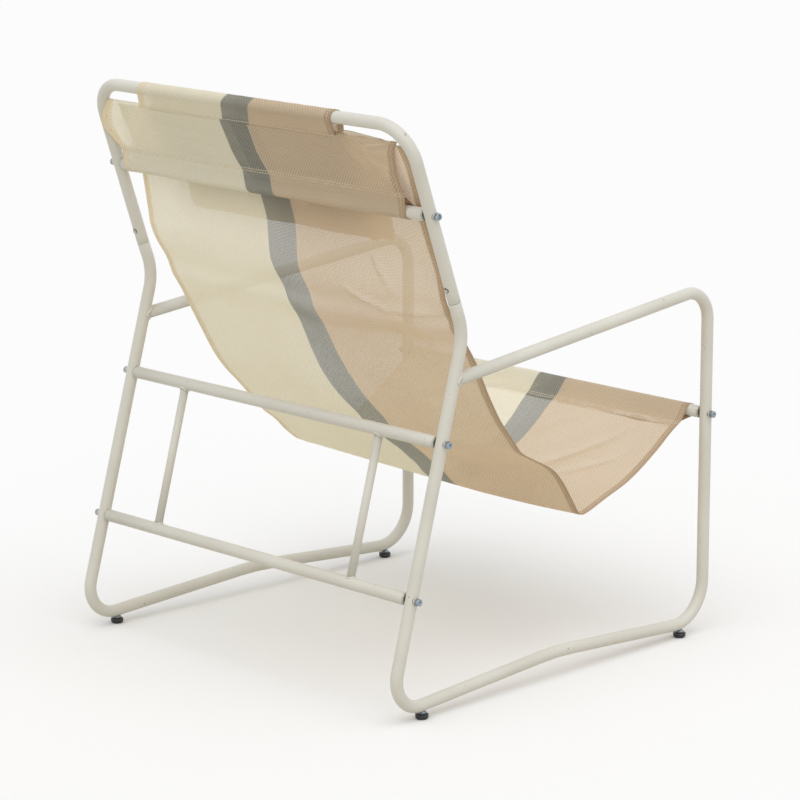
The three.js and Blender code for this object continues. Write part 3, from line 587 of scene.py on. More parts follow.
def black_plastic(place):
    """Moulded black plastic, satin, with fine grain and dust that has settled in patches."""
    dust = place.noise(190.0, 4.0).between(0.52, 0.74)
    return {
        "Base Color": (dust * 0.45).mixed(PLASTIC, DUST),
        "Roughness": dust * 0.3 + 0.42,
        "Normal": place.noise(1900.0, 2.0).bump(0.00004, 0.6),
    }


BLACK = surface("black_plastic", black_plastic)
UPWARD = np.array([0, 0, 1.0])
for end in ("rear", "front"):
    for side, word in BOTH:
        spot = f"{end}_{word}"
        low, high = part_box(f"foot_nut_{spot}")
        at = np.array([(low.x + high.x) / 2, (low.y + high.y) / 2, 0])
        bore, rim = SCREW + 2 * FIT, low.z + NUT_FLANGE_HIGH
        nut = turned(f"rivet_nut_{spot}", [
            (bore, low.z), (NUT_FLANGE - EDGE / 2, low.z), (NUT_FLANGE, low.z + EDGE / 2),
            (NUT_FLANGE, rim - EDGE / 4), (NUT, rim), (NUT, high.z), (bore, high.z)],
            at, UPWARD, CROSS, loop=True)
        fitted(nut, ZINC, "chair", "zinc_steel", f"foot_nut_{spot}")

        stud_low, stud_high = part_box(f"foot_stud_{spot}")
        collar_low = PAD_HIGH + 2 * FIT
        collar_top = min(PAD_HIGH + COLLAR_HIGH, low.z - 2 * FIT)
        heights = np.arange(collar_top + FIT, stud_high.z - EDGE, THREAD_PITCH / 8)
        wound = 2 * math.pi * heights[:, None] / THREAD_PITCH - turn
        thread = list(zip(SCREW - THREAD_DEPTH * (0.5 - 0.5 * np.cos(wound)), heights))
        stud = turned(f"stud_{spot}", [
            (SCREW - EDGE, stud_low.z), (SCREW, stud_low.z + EDGE), (SCREW, collar_low),
            (COLLAR - EDGE / 2, collar_low), (COLLAR, collar_low + FIT),
            (COLLAR, collar_top - FIT), (COLLAR - EDGE / 2, collar_top), *thread,
            (SCREW - 2 * EDGE, stud_high.z)], at, UPWARD, CROSS)
        fitted(stud, ZINC, f"foot_stud_{spot}", "zinc_steel", f"foot_stud_{spot}")

        flute = FLUTE_DEPTH * (0.5 - 0.5 * np.cos(FLUTES * turn))
        pad = turned(f"pad_{spot}", [
            (SCREW + FIT, PAD_HIGH), (PAD - 3 * EDGE - flute, PAD_HIGH),
            (PAD - EDGE - flute, PAD_HIGH - EDGE / 2), (PAD - flute, PAD_HIGH - 1.5 * EDGE),
            (PAD - flute, PAD_TAPER + EDGE), (PAD - EDGE - flute * 0.7, PAD_TAPER - EDGE),
            (PAD_BASE + EDGE - flute * 0.2, EDGE), (PAD_BASE - EDGE / 2, 0), (SCREW * 0.7, 0),
            (SCREW * 0.6, 2 * EDGE), (SCREW * 0.5, stud_low.z - 2 * FIT),
            (SCREW + FIT, stud_low.z - 2 * FIT)], at, UPWARD, CROSS, loop=True)
        fitted(pad, BLACK, f"foot_pad_{spot}", "black_plastic", f"foot_pad_{spot}")


# A sprung button comes through the back of each hoop leg just over the joint and locks it to the
# sleeve inside. It can be pressed in, and the hole round it shows as a dark crescent.
BUTTON = 0.003
BUTTON_UP = 0.022
BUTTON_STAND = 0.0023
BUTTON_DOME = 0.0016
BUTTON_ROOT = 0.55 * TUBE
BUTTON_FULL = 0.8
BUTTON_HOLE = 0.0041
HOLE_OFF = 0.0008
HOLE_LONG = 1.3 * TUBE
HOLE_EDGE = math.radians(50)


def applied(piece):
    """The mesh that a piece's modifiers make of it. They are taken off the piece."""
    graph = bpy.context.evaluated_depsgraph_get()
    done = bpy.data.meshes.new_from_object(piece.evaluated_get(graph))
    piece.modifiers.clear()
    return done


def cut(piece, cutter):
    """Takes the cutter's shape out of a piece and removes the cutter."""
    boolean = piece.modifiers.new("hole", "BOOLEAN")
    boolean.operation = "DIFFERENCE"
    boolean.solver = "EXACT"
    boolean.object = cutter
    piece.data = applied(piece)
    bpy.data.objects.remove(cutter)


for side, word in BOTH:
    leg = unit(on_hoop(HOOP_TOP, side) - on_hoop(SEAM, side))
    out = np.array([0, *BEHIND])
    at = on_hoop(SEAM, side) + BUTTON_UP * leg
    hole = turned(f"button_hole_{word}", [(BUTTON_HOLE, 0), (BUTTON_HOLE, HOLE_LONG)],
                  at + HOLE_OFF * leg, out, leg)
    cut(hoop, hole)
    hoop.data.set_sharp_from_angle(angle=HOLE_EDGE)
    swell = np.linspace(0, math.pi / 2, 9)[:-1]
    dome = zip(BUTTON * np.cos(swell) ** BUTTON_FULL,
               TUBE + BUTTON_STAND - BUTTON_DOME + BUTTON_DOME * np.sin(swell))
    button = turned(f"snap_dome_{word}", [(BUTTON, BUTTON_ROOT), *dome], at, out, leg)
    fitted(button, DULL_ZINC, f"snap_button_{word}", "zinc_steel", f"snap_button_{word}")
    for name, finish in (("joint_sleeve", ZINC), ("snap_spring", SPRING)):
        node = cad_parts[f"{name}_{word}"]
        for material in node.material_slots:
            material.material = finish


# The sheet is one strip of woven PVC mesh with a cream side, a grey stripe and a beige side. It
# is sewn round the front bar, hangs over the seat, folds low between the side frames and runs up
# the back. Its side hems are folded in and stitched, and it has slid a little to one side.
LAYER = 0.00025
WRAP = TUBE + 0.0010
WRAP_STEP = math.radians(9)
HEM = 0.009
HEM_COLUMNS = 5
HEM_STITCH = 3
SAG = 0.007
SAG_COMES = 0.2
SAG_GOES = 3
SEAT_SHARE = 0.3
CREASE_END = 0.08
FREE_FADE = 0.05
CLIMB_RUN = 0.03
PITCH_ACROSS = 0.0052
PITCH_ALONG = 0.0022
STRIPE_HALF = 0.028
LET_THROUGH = 0.33
CREAM_LESS = 0.06
SHEET_ACROSS = 110
SHEET_STEP = 0.006
SHEET_HALF = 0.295
SEWN = HOOP_TOP - 0.031 * UP
SEW_LAYER = 0.0007
POCKET_STITCH = np.array([HEEL[0] - 0.6418, 0.3214])
POCKET_TAIL = np.array([0.0103, -0.0062])
POCKET_RIGHT = -0.287
POCKET_LEFT = 0.293
POCKET_STRIPE = -0.0075

# The stripe wanders a little: shares of the way up the sheet, and x of its middle there.
STRIPE_SHARES = [0, 0.08, 0.22, 0.285, 0.30, 0.315, 0.335, 0.38, 0.44, 0.466, 0.50, 0.54, 0.58,
                 0.62, 0.65, 0.69, 0.73, 0.76, 0.794, 0.83, 0.867, 1]
STRIPE_PLACES = [-0.0116, -0.018, -0.016, -0.0175, -0.0095, -0.006, -0.002, -0.0055, -0.006,
                 0.000, 0.008, 0.0155, 0.0170, 0.0142, 0.0105, 0.0030, 0.0015, 0.006, 0.002,
                 -0.002, 0.002, 0.012]

# Above the seat the hems leave their straight course too: heights, and x of the hem there.
RIGHT_EDGE = ([0.50, 0.53, 0.57, 0.615, 0.645, 0.70, 0.77, 0.797],
              [-0.295, -0.305, -0.309, -0.307, -0.303, -0.301, -0.313, -0.311])
LEFT_EDGE = ([0.66, 0.684, 0.712, 0.797], [0.295, 0.294, 0.290, 0.281])

# Each hem's course seen from the side, from the front bar up to the shoulders: y from the heel,
# and z. Both go down the seat together and part at the fold, the last point of FRONT_HALF.
FRONT_HALF = [(-0.641, 0.323), (-0.616, 0.308), (-0.589, 0.2895), (-0.550, 0.267),
              (-0.511, 0.249), (-0.472, 0.2345), (-0.436, 0.2215)]
RIGHT_HEM = [*FRONT_HALF, (-0.4215, 0.2206), (-0.414, 0.2290), (-0.3986, 0.2531),
             (-0.3801, 0.2776), (-0.362, 0.2955), (-0.341, 0.3075), (-0.3202, 0.3184),
             (-0.2964, 0.3328), (-0.2832, 0.3495), (-0.2575, 0.3843), (-0.2421, 0.4101),
             (-0.232, 0.4280), (-0.218, 0.4551), (-0.2055, 0.4775), (-0.1875, 0.5030),
             (-0.170, 0.5176), (-0.1545, 0.5318), (-0.1471, 0.5483), (-0.131, 0.5750),
             (-0.1219, 0.6199), (-0.1007, 0.6847), (-0.092, 0.7120)]
LEFT_HEM = [*FRONT_HALF[:-1], (-0.436, 0.2241), (-0.4125, 0.2330), (-0.4045, 0.2361),
            (-0.394, 0.2449), (-0.3785, 0.2585), (-0.3602, 0.2757), (-0.3302, 0.2975),
            (-0.2790, 0.3500), (-0.2590, 0.3703), (-0.2375, 0.3985), (-0.2141, 0.4390),
            (-0.1987, 0.4658), (-0.1750, 0.5059), (-0.1565, 0.5327), (-0.1444, 0.5586),
            (-0.1255, 0.5856), (-0.1134, 0.6109), (-0.1094, 0.6352), (-0.1009, 0.6840),
            (-0.092, 0.7120)]
FOLD = len(FRONT_HALF) - 1
SPAN_STEPS = 16
TO_FOLD = 40
FROM_FOLD = 140
SHOULDER_SHARE = 0.55


def strides(line):
    """How far it is from each point of a line to the next."""
    return np.linalg.norm(np.diff(line, axis=0), axis=1)


def evenly(line, step, measured=2):
    """The same line with equal steps, measured over its first columns."""
    run = np.concatenate([[0], np.cumsum(strides(line[:, :measured]))])
    at = np.linspace(0, run[-1], round(run[-1] / step) + 1)
    return np.stack([np.interp(at, run, column) for column in line.T], -1)


def smooth_line(points):
    """A smooth line through points. Each span is a cubic that leaves and arrives along the line
    between the points next to it on both sides."""
    points = np.asarray(points, float)
    wide = np.concatenate([2 * points[:1] - points[1:2], points, 2 * points[-1:] - points[-2:-1]])
    a, b, c, d = (wide[i:len(points) - 1 + i, None] for i in range(4))
    t = np.linspace(0, 1, SPAN_STEPS, endpoint=False)[None, :, None]
    bend, twist = 2 * a - 5 * b + 4 * c - d, 3 * b - a - 3 * c + d
    fine = 2 * b + (c - a) * t + bend * t**2 + twist * t**3
    return np.concatenate([fine.reshape(-1, points.shape[1]) / 2, points[-1:]])


def round_bar(bar, start, stop):
    """Points of cloth that lies round a bar, between two angles seen from the side."""
    angle = np.linspace(start, stop, max(3, round(abs(stop - start) / WRAP_STEP)))
    return bar + WRAP * np.stack([np.cos(angle), np.sin(angle)], -1)


def leaving(bar, point, way):
    """The angle at which a straight run from a point touches the cloth round a bar."""
    away = point - bar
    return math.atan2(away[1], away[0]) + way * math.acos(WRAP / np.linalg.norm(away))


in_front = leaving(FRONT_BAR, POCKET_STITCH, -1)
RIGHT_HEM, LEFT_HEM = (np.array(hem) + [HEEL[0], 0] for hem in (RIGHT_HEM, LEFT_HEM))
over_bar = leaving(FRONT_BAR, RIGHT_HEM[0], 1) - 2 * math.pi
pocket = np.concatenate([[POCKET_STITCH + POCKET_TAIL, POCKET_STITCH],
                         round_bar(FRONT_BAR, in_front, over_bar)])
shoulder = SEWN - SEW_LAYER * BEHIND


def sheet_rows():
    """Rows of the sheet from the front pocket to the shoulders: y and z of its right hem, then
    of its left hem, x of both hems, how far its middle sags, and x of the stripe's middle."""
    sides = []
    for hem in (RIGHT_HEM, LEFT_HEM):
        top = np.array([hem[-1] + (shoulder - hem[-1]) * SHOULDER_SHARE, shoulder])
        fold = FOLD * SPAN_STEPS
        spans = (smooth_line(hem)[:fold + 1], smooth_line([*hem, *top])[fold:])
        fine = [evenly(span, strides(span).sum() / count)
                for span, count in zip(spans, (TO_FOLD, FROM_FOLD))]
        sides.append(np.concatenate([fine[0], fine[1][1:]]))
    right, left = sides
    height = (right[:, 1] + left[:, 1]) / 2
    share = np.linspace(0, 1, len(right))
    past_seat = share > SEAT_SHARE
    x_right = np.where(past_seat, np.interp(height, *RIGHT_EDGE), -SHEET_HALF)
    x_left = np.where(past_seat, np.interp(height, *LEFT_EDGE), SHEET_HALF)
    sag = SAG * np.sin(np.pi / 2 * np.minimum(1, share / SAG_COMES))
    sag *= np.minimum(1, SAG_GOES * (1 - share))
    stripe = np.interp(share, STRIPE_SHARES, STRIPE_PLACES)
    hanging = np.column_stack([right, left, x_right, x_left, sag, stripe])
    held = np.tile([POCKET_RIGHT, POCKET_LEFT, 0, POCKET_STRIPE], (len(pocket), 1))
    return np.concatenate([np.column_stack([pocket, pocket, held]), hanging])


def cloth_shell(name, rows, step, across, creases=(), ripples=(), free=((0, 1),),
                climb=((0, 0),)):
    """A thin closed shell over rows of cloth. Between the hems each row is straight but for its
    sag, which is a parabola, for creases, which are ridges with a bell-shaped section that fade
    out at their ends, and for ripples, which are plain waves in the spans where it hangs free.
    Its last rows climb by the heights that climb gives for places across. The hems are twice as
    thick. The UV map gives metres from the stripe's middle and along the cloth, and the
    attribute doubled is 1 on the hems."""
    rows = evenly(rows, step)
    run = np.arange(len(rows)) * step
    width = rows[:, 5] - rows[:, 4]
    edge = HEM / width.mean()
    share = np.concatenate([
        np.linspace(0, edge, HEM_COLUMNS), np.linspace(edge, 1 - edge, across)[1:-1],
        np.linspace(1 - edge, 1, HEM_COLUMNS)])[None, :, None]
    hem_line = rows[:, None, 0:2] * (1 - share) + rows[:, None, 2:4] * share
    x = rows[:, None, 4:5] * (1 - share) + rows[:, None, 5:6] * share
    middle_at = np.concatenate([x, hem_line], -1)
    along = unit(np.gradient(middle_at, axis=0))
    normal = unit(np.cross(np.gradient(middle_at, axis=1), along))
    lift = -rows[:, None, 6:7] * 4 * share * (1 - share)
    for x0, run0, x1, run1, broad, high in creases:
        path = np.array([x1 - x0, run1 - run0])
        there = np.stack([x[..., 0] - x0, np.broadcast_to(run[:, None] - run0, x.shape[:2])], -1)
        part = np.clip(there @ path / (path @ path), 0, 1)
        aside = np.linalg.norm(there - part[..., None] * path, axis=-1)
        fade = np.sin(np.pi * (CREASE_END + (1 - 2 * CREASE_END) * part))
        lift = lift + (high * fade * np.exp(-(aside / broad) ** 2))[..., None]
    inside = (np.minimum(run - start, stop - run) for start, stop in free)
    loose = sum(np.clip(depth / FREE_FADE, 0, 1) for depth in inside)[:, None] ** 2
    for wide, long, start, high in ripples:
        wave = np.sin(2 * math.pi * (x[..., 0] / wide + run[:, None] / long) + start)
        lift = lift + (high * loose * wave)[..., None]
    doubled = np.zeros(x.shape[:2])
    doubled[:, :HEM_COLUMNS] = doubled[:, -HEM_COLUMNS:] = 1
    centre = middle_at + normal * lift
    late = np.clip((run - run[-1]) / CLIMB_RUN + 1, 0, 1)[:, None, None] ** 2
    centre = centre + late * np.interp(x, *np.transpose(climb)) * np.array([0, *UP])
    thick = LAYER * (1 + doubled)[..., None] / 2
    faces = np.concatenate([centre + normal * thick, (centre - normal * thick)[:, ::-1]], 1)
    uv = np.stack([x[..., 0] - rows[:, 7:8], np.broadcast_to(run[:, None], x.shape[:2])], -1)
    piece = skin(name, faces, np.concatenate([uv, uv[:, ::-1]], 1))
    layer = piece.data.attributes.new("doubled", "FLOAT", "POINT")
    layer.data.foreach_set("value", np.concatenate([doubled, doubled[:, ::-1]], 1).ravel())
    return piece, width.mean(), run[-1], centre


# Colours of the threads where they lie on top, where they dip between each other (darker, as
# painted shade in the weave's hollows), and what a hem multiplies by (darker, as painted shade of
# the doubled cloth).
BEIGE = ((0.885, 0.765, 0.585, 1), (0.68, 0.55, 0.395, 1), (0.72, 0.62, 0.52, 1))
CREAM = ((0.98, 0.94, 0.80, 1), (0.93, 0.88, 0.73, 1), (0.98, 0.91, 0.80, 1))
GREY = ((0.515, 0.51, 0.44, 1), (0.19, 0.18, 0.145, 1))


def striped_mesh():
    """Woven mesh of coated threads. Its height falls off by a square from the middle of each
    thread across and along, and a small hole is left between them, wider in the beige and
    widest in the grey. Where the threads dip the colour is painted shade. Hems are closer, and
    are painted darker as shade of the doubled cloth."""
    finish, wire = new_finish("striped_mesh")
    uv = wire.node("ShaderNodeUVMap", {}, {})
    across, along = (uv.node("ShaderNodeSeparateXYZ", {}, {"Vector": uv}, out=axis)
                     for axis in "XY")
    doubled = wire.node("ShaderNodeAttribute", {"attribute_name": "doubled"}, {}, out="Fac")
    place = wire.node("ShaderNodeTexCoord", {}, {}, out="Object")
    weft = along / PITCH_ALONG
    warp = across / PITCH_ACROSS + weft.math("FLOOR") * 0.5
    off_warp = (warp.math("FRACT") - 0.5).math("ABSOLUTE") * 2
    off_weft = (weft.math("FRACT") - 0.5).math("ABSOLUTE") * 2
    height = (1 - off_warp * off_warp) * 0.6 + (1 - off_weft * off_weft) * 0.4
    stripe = (STRIPE_HALF - across.math("ABSOLUTE")).between(-0.0004, 0.0004)
    half = across.between(-0.001, 0.001)
    looser = (1 - half) * (1 - stripe) * 0.05 + stripe * 0.10
    hole = (off_warp + looser).between(0.60, 0.70) * (off_weft + looser * 1.3).between(0.48, 0.60)
    hole = hole * (1 - doubled * 0.85)
    # thread is the colour on top; gap is the colour where the threads dip, darker as painted shade
    # in the hollows of the weave.
    thread, gap = (stripe.mixed(half.mixed(BEIGE[k], CREAM[k]), GREY[k]) for k in (0, 1))
    colour = height.between(0.40, 0.85).mixed(gap, thread)
    # On the hems the colour is multiplied by this darker tint: painted shade of the doubled cloth.
    # The same tint, at a tenth by noise, gives a faint random mottle.
    darker = half.mixed(BEIGE[2], CREAM[2])
    hem_shade_and_mottle = colour.node("ShaderNodeMix", {"data_type": "RGBA", "blend_type": "MULTIPLY"},
                       {0: 1.0, 6: colour, 7: darker}, out=2)
    aged = place.noise(5.0, 2.0).between(0.35, 0.7) * 0.10
    colour = (doubled * 0.7 + aged).mixed(colour, hem_shade_and_mottle)
    relief = height.bump(0.00025, 0.7)
    body = wire.node("ShaderNodeBsdfPrincipled", {}, {
        "Base Color": colour, "Roughness": height * -0.10 + 0.62, "Normal": relief,
        "Specular IOR Level": 0.35,
    })
    glow = wire.node("ShaderNodeBsdfTranslucent", {}, {"Color": colour, "Normal": relief})
    cloth = wire.node("ShaderNodeMixShader", {}, {
        0: half * -CREAM_LESS + LET_THROUGH, 1: body, 2: glow})
    clear = wire.node("ShaderNodeBsdfTransparent", {}, {})
    return shown(finish, wire.node("ShaderNodeMixShader", {}, {0: hole, 1: cloth, 2: clear}))


MESH = striped_mesh()
# Each crease: x and run of its two ends, its breadth and its height. Each ripple: its lengths
# across and along, its phase and its height. The sheet hangs free of the bars in FREE_SPANS.
SHEET_CREASES = [
    (-0.120, 0.815, -0.188, 0.786, 0.008, -0.0085), (-0.178, 0.788, -0.295, 0.797, 0.008, -0.0090),
    (-0.186, 0.890, -0.205, 0.830, 0.009, -0.0080), (-0.095, 0.255, -0.215, 0.130, 0.015, -0.0075),
    (-0.150, 0.265, -0.240, 0.190, 0.010, -0.0045), (-0.060, 0.200, -0.150, 0.120, 0.016, 0.0040),
    (0.060, 0.820, 0.250, 0.760, 0.030, -0.0030), (0.010, 0.640, -0.200, 0.560, 0.035, 0.0030),
    (-0.230, 0.700, -0.120, 0.600, 0.025, -0.0026), (0.240, 0.640, 0.080, 0.520, 0.034, 0.0028),
    (0.340, 0.330, -0.100, 0.330, 0.070, 0.0050),
]
SHEET_RIPPLES = [(0.31, 0.42, 0.4, 0.0016), (-0.19, 0.33, 1.9, 0.0012),
                 (0.12, -0.55, 0.7, 0.0008)]
FREE_SPANS = ((0.055, 0.30), (0.36, 1.02))
SHEET_CLIMB = [(-0.293, 0), (-0.275, 0.0065), (-0.245, 0.009), (-0.215, 0.012), (-0.199, 0.012),
               (-0.190, 0)]
sheet, sheet_wide, sheet_long, sheet_centre = cloth_shell(
    "sling_sheet", sheet_rows(), SHEET_STEP, SHEET_ACROSS, SHEET_CREASES, SHEET_RIPPLES,
    FREE_SPANS, SHEET_CLIMB)
fitted(sheet, MESH, "chair", "mesh_fabric", "seat_sling")


# The top end of the sheet is narrower. It goes round the hoop's top bar as a sleeve and is sewn
# down behind, with its left end hemmed.
SLEEVE_STEP = 0.003
SLEEVE_ACROSS = 70
SLEEVE_RIGHT = -0.197
SLEEVE_LEFT = 0.204
SLEEVE_SLANT = (0.015, 0.028)
SLEEVE_START = 0.0006
SLEEVE_TAIL = 0.0025
SLEEVE_RIPPLES = [(0.037, 0.21, 0.3, 0.00018)]

# x of the stripe's middle at the sheet, over the bar, where the cloth leaves the bar, at the
# stitches and at the cut edge, and how far the slant has come at all of these but the second.
SLEEVE_REACH = [0, 0.4, 1, 1]
SLEEVE_STRIPE = [0.012, -0.003, 0.006, 0.0233, 0.0235]

tail = SEWN + SEW_LAYER * BEHIND
round_top = round_bar(HOOP_TOP, leaving(HOOP_TOP, shoulder, -1) + 2 * math.pi,
                      leaving(HOOP_TOP, tail, 1))
line = np.concatenate([[shoulder + SLEEVE_START * UP], round_top, [tail, tail - SLEEVE_TAIL * UP]])
count = len(line)
turns = [0, count // 2, count - 3, count - 2, count - 1]
reach = np.interp(np.arange(count), [0, *turns[2:]], SLEEVE_REACH)
stripe = np.interp(np.arange(count), turns, SLEEVE_STRIPE)
rows = np.column_stack([line, line, SLEEVE_RIGHT + SLEEVE_SLANT[0] * reach,
                        SLEEVE_LEFT + SLEEVE_SLANT[1] * reach, 0 * reach, stripe])
sleeve, sleeve_wide, sleeve_long, sleeve_centre = cloth_shell(
    "sling_sleeve", rows, SLEEVE_STEP, SLEEVE_ACROSS, ripples=SLEEVE_RIPPLES)
fitted(sleeve, MESH, "chair", "mesh_fabric")


# The rear panel is a second, short piece of the same mesh. It is sewn in under the sleeve, covers
# the back of the hoop and goes round the upper back bar in a pocket with two rows of stitches.
PANEL_STITCH = 0.025
PANEL_BEHIND = 0.0030
PANEL_TUCK = 0.0012
PANEL_ABOVE = 0.006
PANEL_TAIL = 0.008
PANEL_STEP = 0.003
PANEL_ACROSS = 100
PANEL_POINTS = 14
BACK_BAR = middle["upper_back_bar"][1:]

# Shares of the way down to the stitches, and x there of both edges and of the stripe's middle.
PANEL_LEFT = ([0, 0.25, 0.5, 0.8, 1], [0.302, 0.314, 0.3185, 0.308, 0.300])
PANEL_RIGHT = ([0, 0.2, 0.6, 1], [-0.303, -0.291, -0.286, -0.291])
PANEL_STRIPE = ([0.1, 0.25, 0.42, 0.6, 0.75, 0.9, 1, 1.45],
                [0.030, 0.027, 0.0255, 0.0235, 0.019, 0.013, 0.009, 0.003])

stitch = BACK_BAR + PANEL_STITCH * UP + PANEL_BEHIND * BEHIND
tuck = stitch - PANEL_TUCK * BEHIND
top = SEWN + PANEL_ABOVE * UP
line = np.concatenate([
    np.linspace(top, stitch, PANEL_POINTS),
    round_bar(BACK_BAR, leaving(BACK_BAR, stitch, -1), leaving(BACK_BAR, tuck, 1) - 2 * math.pi),
    [tuck, tuck + PANEL_TAIL * UP]])
down = (top[1] - line[:, 1]) / (top[1] - stitch[1])
left, right, stripe = (np.interp(down, *edge) for edge in (PANEL_LEFT, PANEL_RIGHT, PANEL_STRIPE))
rows = np.column_stack([line, line, right, left, 0 * left, stripe])
PANEL_CREASES = [
    (0.318, -0.030, 0.318, 0.095, 0.012, 0.0105), (-0.120, 0.004, -0.175, 0.060, 0.007, 0.0026),
    (-0.170, 0.004, -0.235, 0.055, 0.007, 0.0032), (-0.215, 0.006, -0.275, 0.070, 0.008, 0.0034),
    (-0.262, 0.030, -0.284, 0.100, 0.006, 0.0036), (0.215, 0.004, 0.262, 0.070, 0.009, 0.0030),
    (0.060, 0.004, 0.030, 0.050, 0.008, 0.0020), (-0.270, 0.118, -0.060, 0.122, 0.004, 0.0012),
    (-0.020, 0.121, 0.230, 0.117, 0.004, 0.0012),
]
PANEL_RIPPLES = [(0.16, 0.20, 0.8, 0.0007), (-0.09, 0.26, 2.1, 0.0005)]
PANEL_FREE = ((0.005, 0.085),)
panel, panel_wide, panel_long, panel_centre = cloth_shell(
    "rear_panel_sheet", rows, PANEL_STEP, PANEL_ACROSS, PANEL_CREASES, PANEL_RIPPLES, PANEL_FREE)
fitted(panel, MESH, "chair", "mesh_fabric", "rear_panel")


# Every edge and joint of the cloth is sewn with pale thread: single rows along the hems and
# under the sleeve, double rows over both pockets.
THREAD = 0.00072
STITCH = 0.0032
STITCH_GAP = 0.0013
STITCH_SIDES = 6
STITCH_RINGS = 6
STITCH_BLUNT = 0.98
NO_SEAM_WAY = [0.31, 0.52, 0.80]
DOUBLE_ROW = 0.004
POCKET_ROWS = (0.004, 0.008)
POCKET_BACK_ROW = 0.033
THREAD_CLEAN = (0.86, 0.76, 0.60, 1)
THREAD_WORN = (0.72, 0.59, 0.42, 1)


def pale_thread(place):
    """Polyester thread, cream, a little uneven along its length."""
    worn = place.noise(120.0, 2.0).between(0.35, 0.7)
    return {
        "Base Color": worn.mixed(THREAD_CLEAN, THREAD_WORN),
        "Roughness": worn * 0.15 + 0.55,
        "Normal": place.noise(3000.0, 1.0).bump(0.00005, 0.6),
    }


def sewn_rows(name, *paths):
    """Rows of stitches as one piece. Each stitch is a bead with blunt ends, laid along its path.
    Its radius is the thread's, times the root of one less the fourth power of the place."""
    place = np.linspace(-STITCH_BLUNT, STITCH_BLUNT, STITCH_RINGS)
    turn = np.linspace(0, 2 * math.pi, STITCH_SIDES, endpoint=False)
    thick = THREAD * np.sqrt(1 - place**4)
    bead = np.stack([np.repeat(place * STITCH / 2, STITCH_SIDES),
                     np.outer(thick, np.cos(turn)).ravel(),
                     np.outer(thick, np.sin(turn)).ravel()], -1)
    beads = []
    for path in paths:
        spots = evenly(path, STITCH + STITCH_GAP, 3)
        forward = unit(np.gradient(spots, axis=0))
        aside = unit(np.cross(forward, NO_SEAM_WAY))
        frames = np.stack([forward, aside, np.cross(forward, aside)], 1)
        beads.append(spots[:, None] + bead @ frames)
    beads = np.concatenate(beads)
    ring = np.arange(len(place) - 1)[:, None] * STITCH_SIDES
    step = np.arange(STITCH_SIDES)[None, :]
    following = (step + 1) % STITCH_SIDES
    quad = np.stack([ring + step, ring + following, ring + STITCH_SIDES + following,
                     ring + STITCH_SIDES + step], -1).reshape(-1, 4)
    first = np.arange(len(beads))[:, None, None] * len(bead)
    caps = np.stack([step[0, ::-1], step[0] + ring[-1, 0] + STITCH_SIDES])
    return face_out(mesh_piece(name, beads, (first + quad).reshape(-1, 4),
                               (first + caps).reshape(-1, STITCH_SIDES).tolist()))


def row_at(centre, step, run):
    """The line across a cloth at a distance along it."""
    low = int(run / step)
    return centre[low] + (centre[low + 1] - centre[low]) * (run / step - low)


def hems(centre):
    """The two lines along a cloth on which its hems are sewn."""
    return centre[:, HEM_STITCH], centre[:, -1 - HEM_STITCH]


THREAD_FINISH = surface("pale_thread", pale_thread)
pocket_run = strides(pocket).sum() + POCKET_BACK_ROW
panel_run = np.linalg.norm(top - stitch)
seams = {
    "sheet": sewn_rows("sheet_stitches", *hems(sheet_centre), *[
        row_at(sheet_centre, SHEET_STEP, run)
        for run in (*POCKET_ROWS, pocket_run, pocket_run + DOUBLE_ROW)]),
    "sleeve": sewn_rows("sleeve_stitches", *hems(sleeve_centre),
                        row_at(sleeve_centre, SLEEVE_STEP, sleeve_long - DOUBLE_ROW)),
    "panel": sewn_rows("panel_stitches", *hems(panel_centre), *[
        row_at(panel_centre, PANEL_STEP, run) for run in (panel_run - DOUBLE_ROW, panel_run)]),
}
for seam in seams.values():
    fitted(seam, THREAD_FINISH, "chair", "mesh_fabric")


# The head pillow is a flat bag of beige cloth, stuffed with fibre. Its top is sewn in at the
# shoulders of the sheet, and it hangs down the front with its lower seam standing off the sheet.
PILLOW_HALF = 0.219
PILLOW_LONG = 0.187
PILLOW_THICK = 0.054
PILLOW_X = 0.010
PILLOW_VOXEL = 0.005
PILLOW_PRESSURE = 4.0
PILLOW_CAP = 0.007
PILLOW_START = 0.82
PILLOW_FRAMES = 20
BAG_ROWS = 40
BAG_ROUND = 160
BAG_ENDS = 0.995
BAG_SIDES = 1.15
BAG_FULL = 0.62
BAG_SEAM = 0.0008
BAG_PULL = 0.030
BAG_HELD = 0.006
BELLY = 1.7
PILLOW_OFF = 0.0012
BACK_COLUMN = 60
BACK_ROWS = 32
FINE_WEAVE = 320.0
PILLOW_DEEP = (0.80, 0.62, 0.40, 1)
PILLOW_PALE = (0.83, 0.66, 0.44, 1)


def stuffed_bag():
    """A bag that lies flat, with x across and y down. Its half thickness is the product of two
    falls to the seams, raised to a power under one, so it is full nearly to its edges. Its
    sides are pulled in towards the corners by an eighth power."""
    v, angle = np.meshgrid(np.sin(np.linspace(-1, 1, BAG_ROWS) * math.pi / 2) * BAG_ENDS,
                           np.linspace(0, 2 * math.pi, BAG_ROUND, endpoint=False),
                           indexing="ij")
    u = np.clip(np.cos(angle) * BAG_SIDES, -1, 1)
    full = ((1 - u**4) * (1 - v**2)) ** BAG_FULL
    half = PILLOW_START * PILLOW_THICK / 2 * full + BAG_SEAM
    pull = 1 - BAG_PULL * np.abs(u) ** 8 * np.abs(v) ** 2
    x = PILLOW_HALF * u * (1 - BAG_PULL * np.abs(v) ** 8)
    y = PILLOW_LONG / 2 * (1 + v * pull)
    return skin("pillow_bag", np.stack([x, y, half * np.sign(np.sin(angle) + 1e-9)], -1))


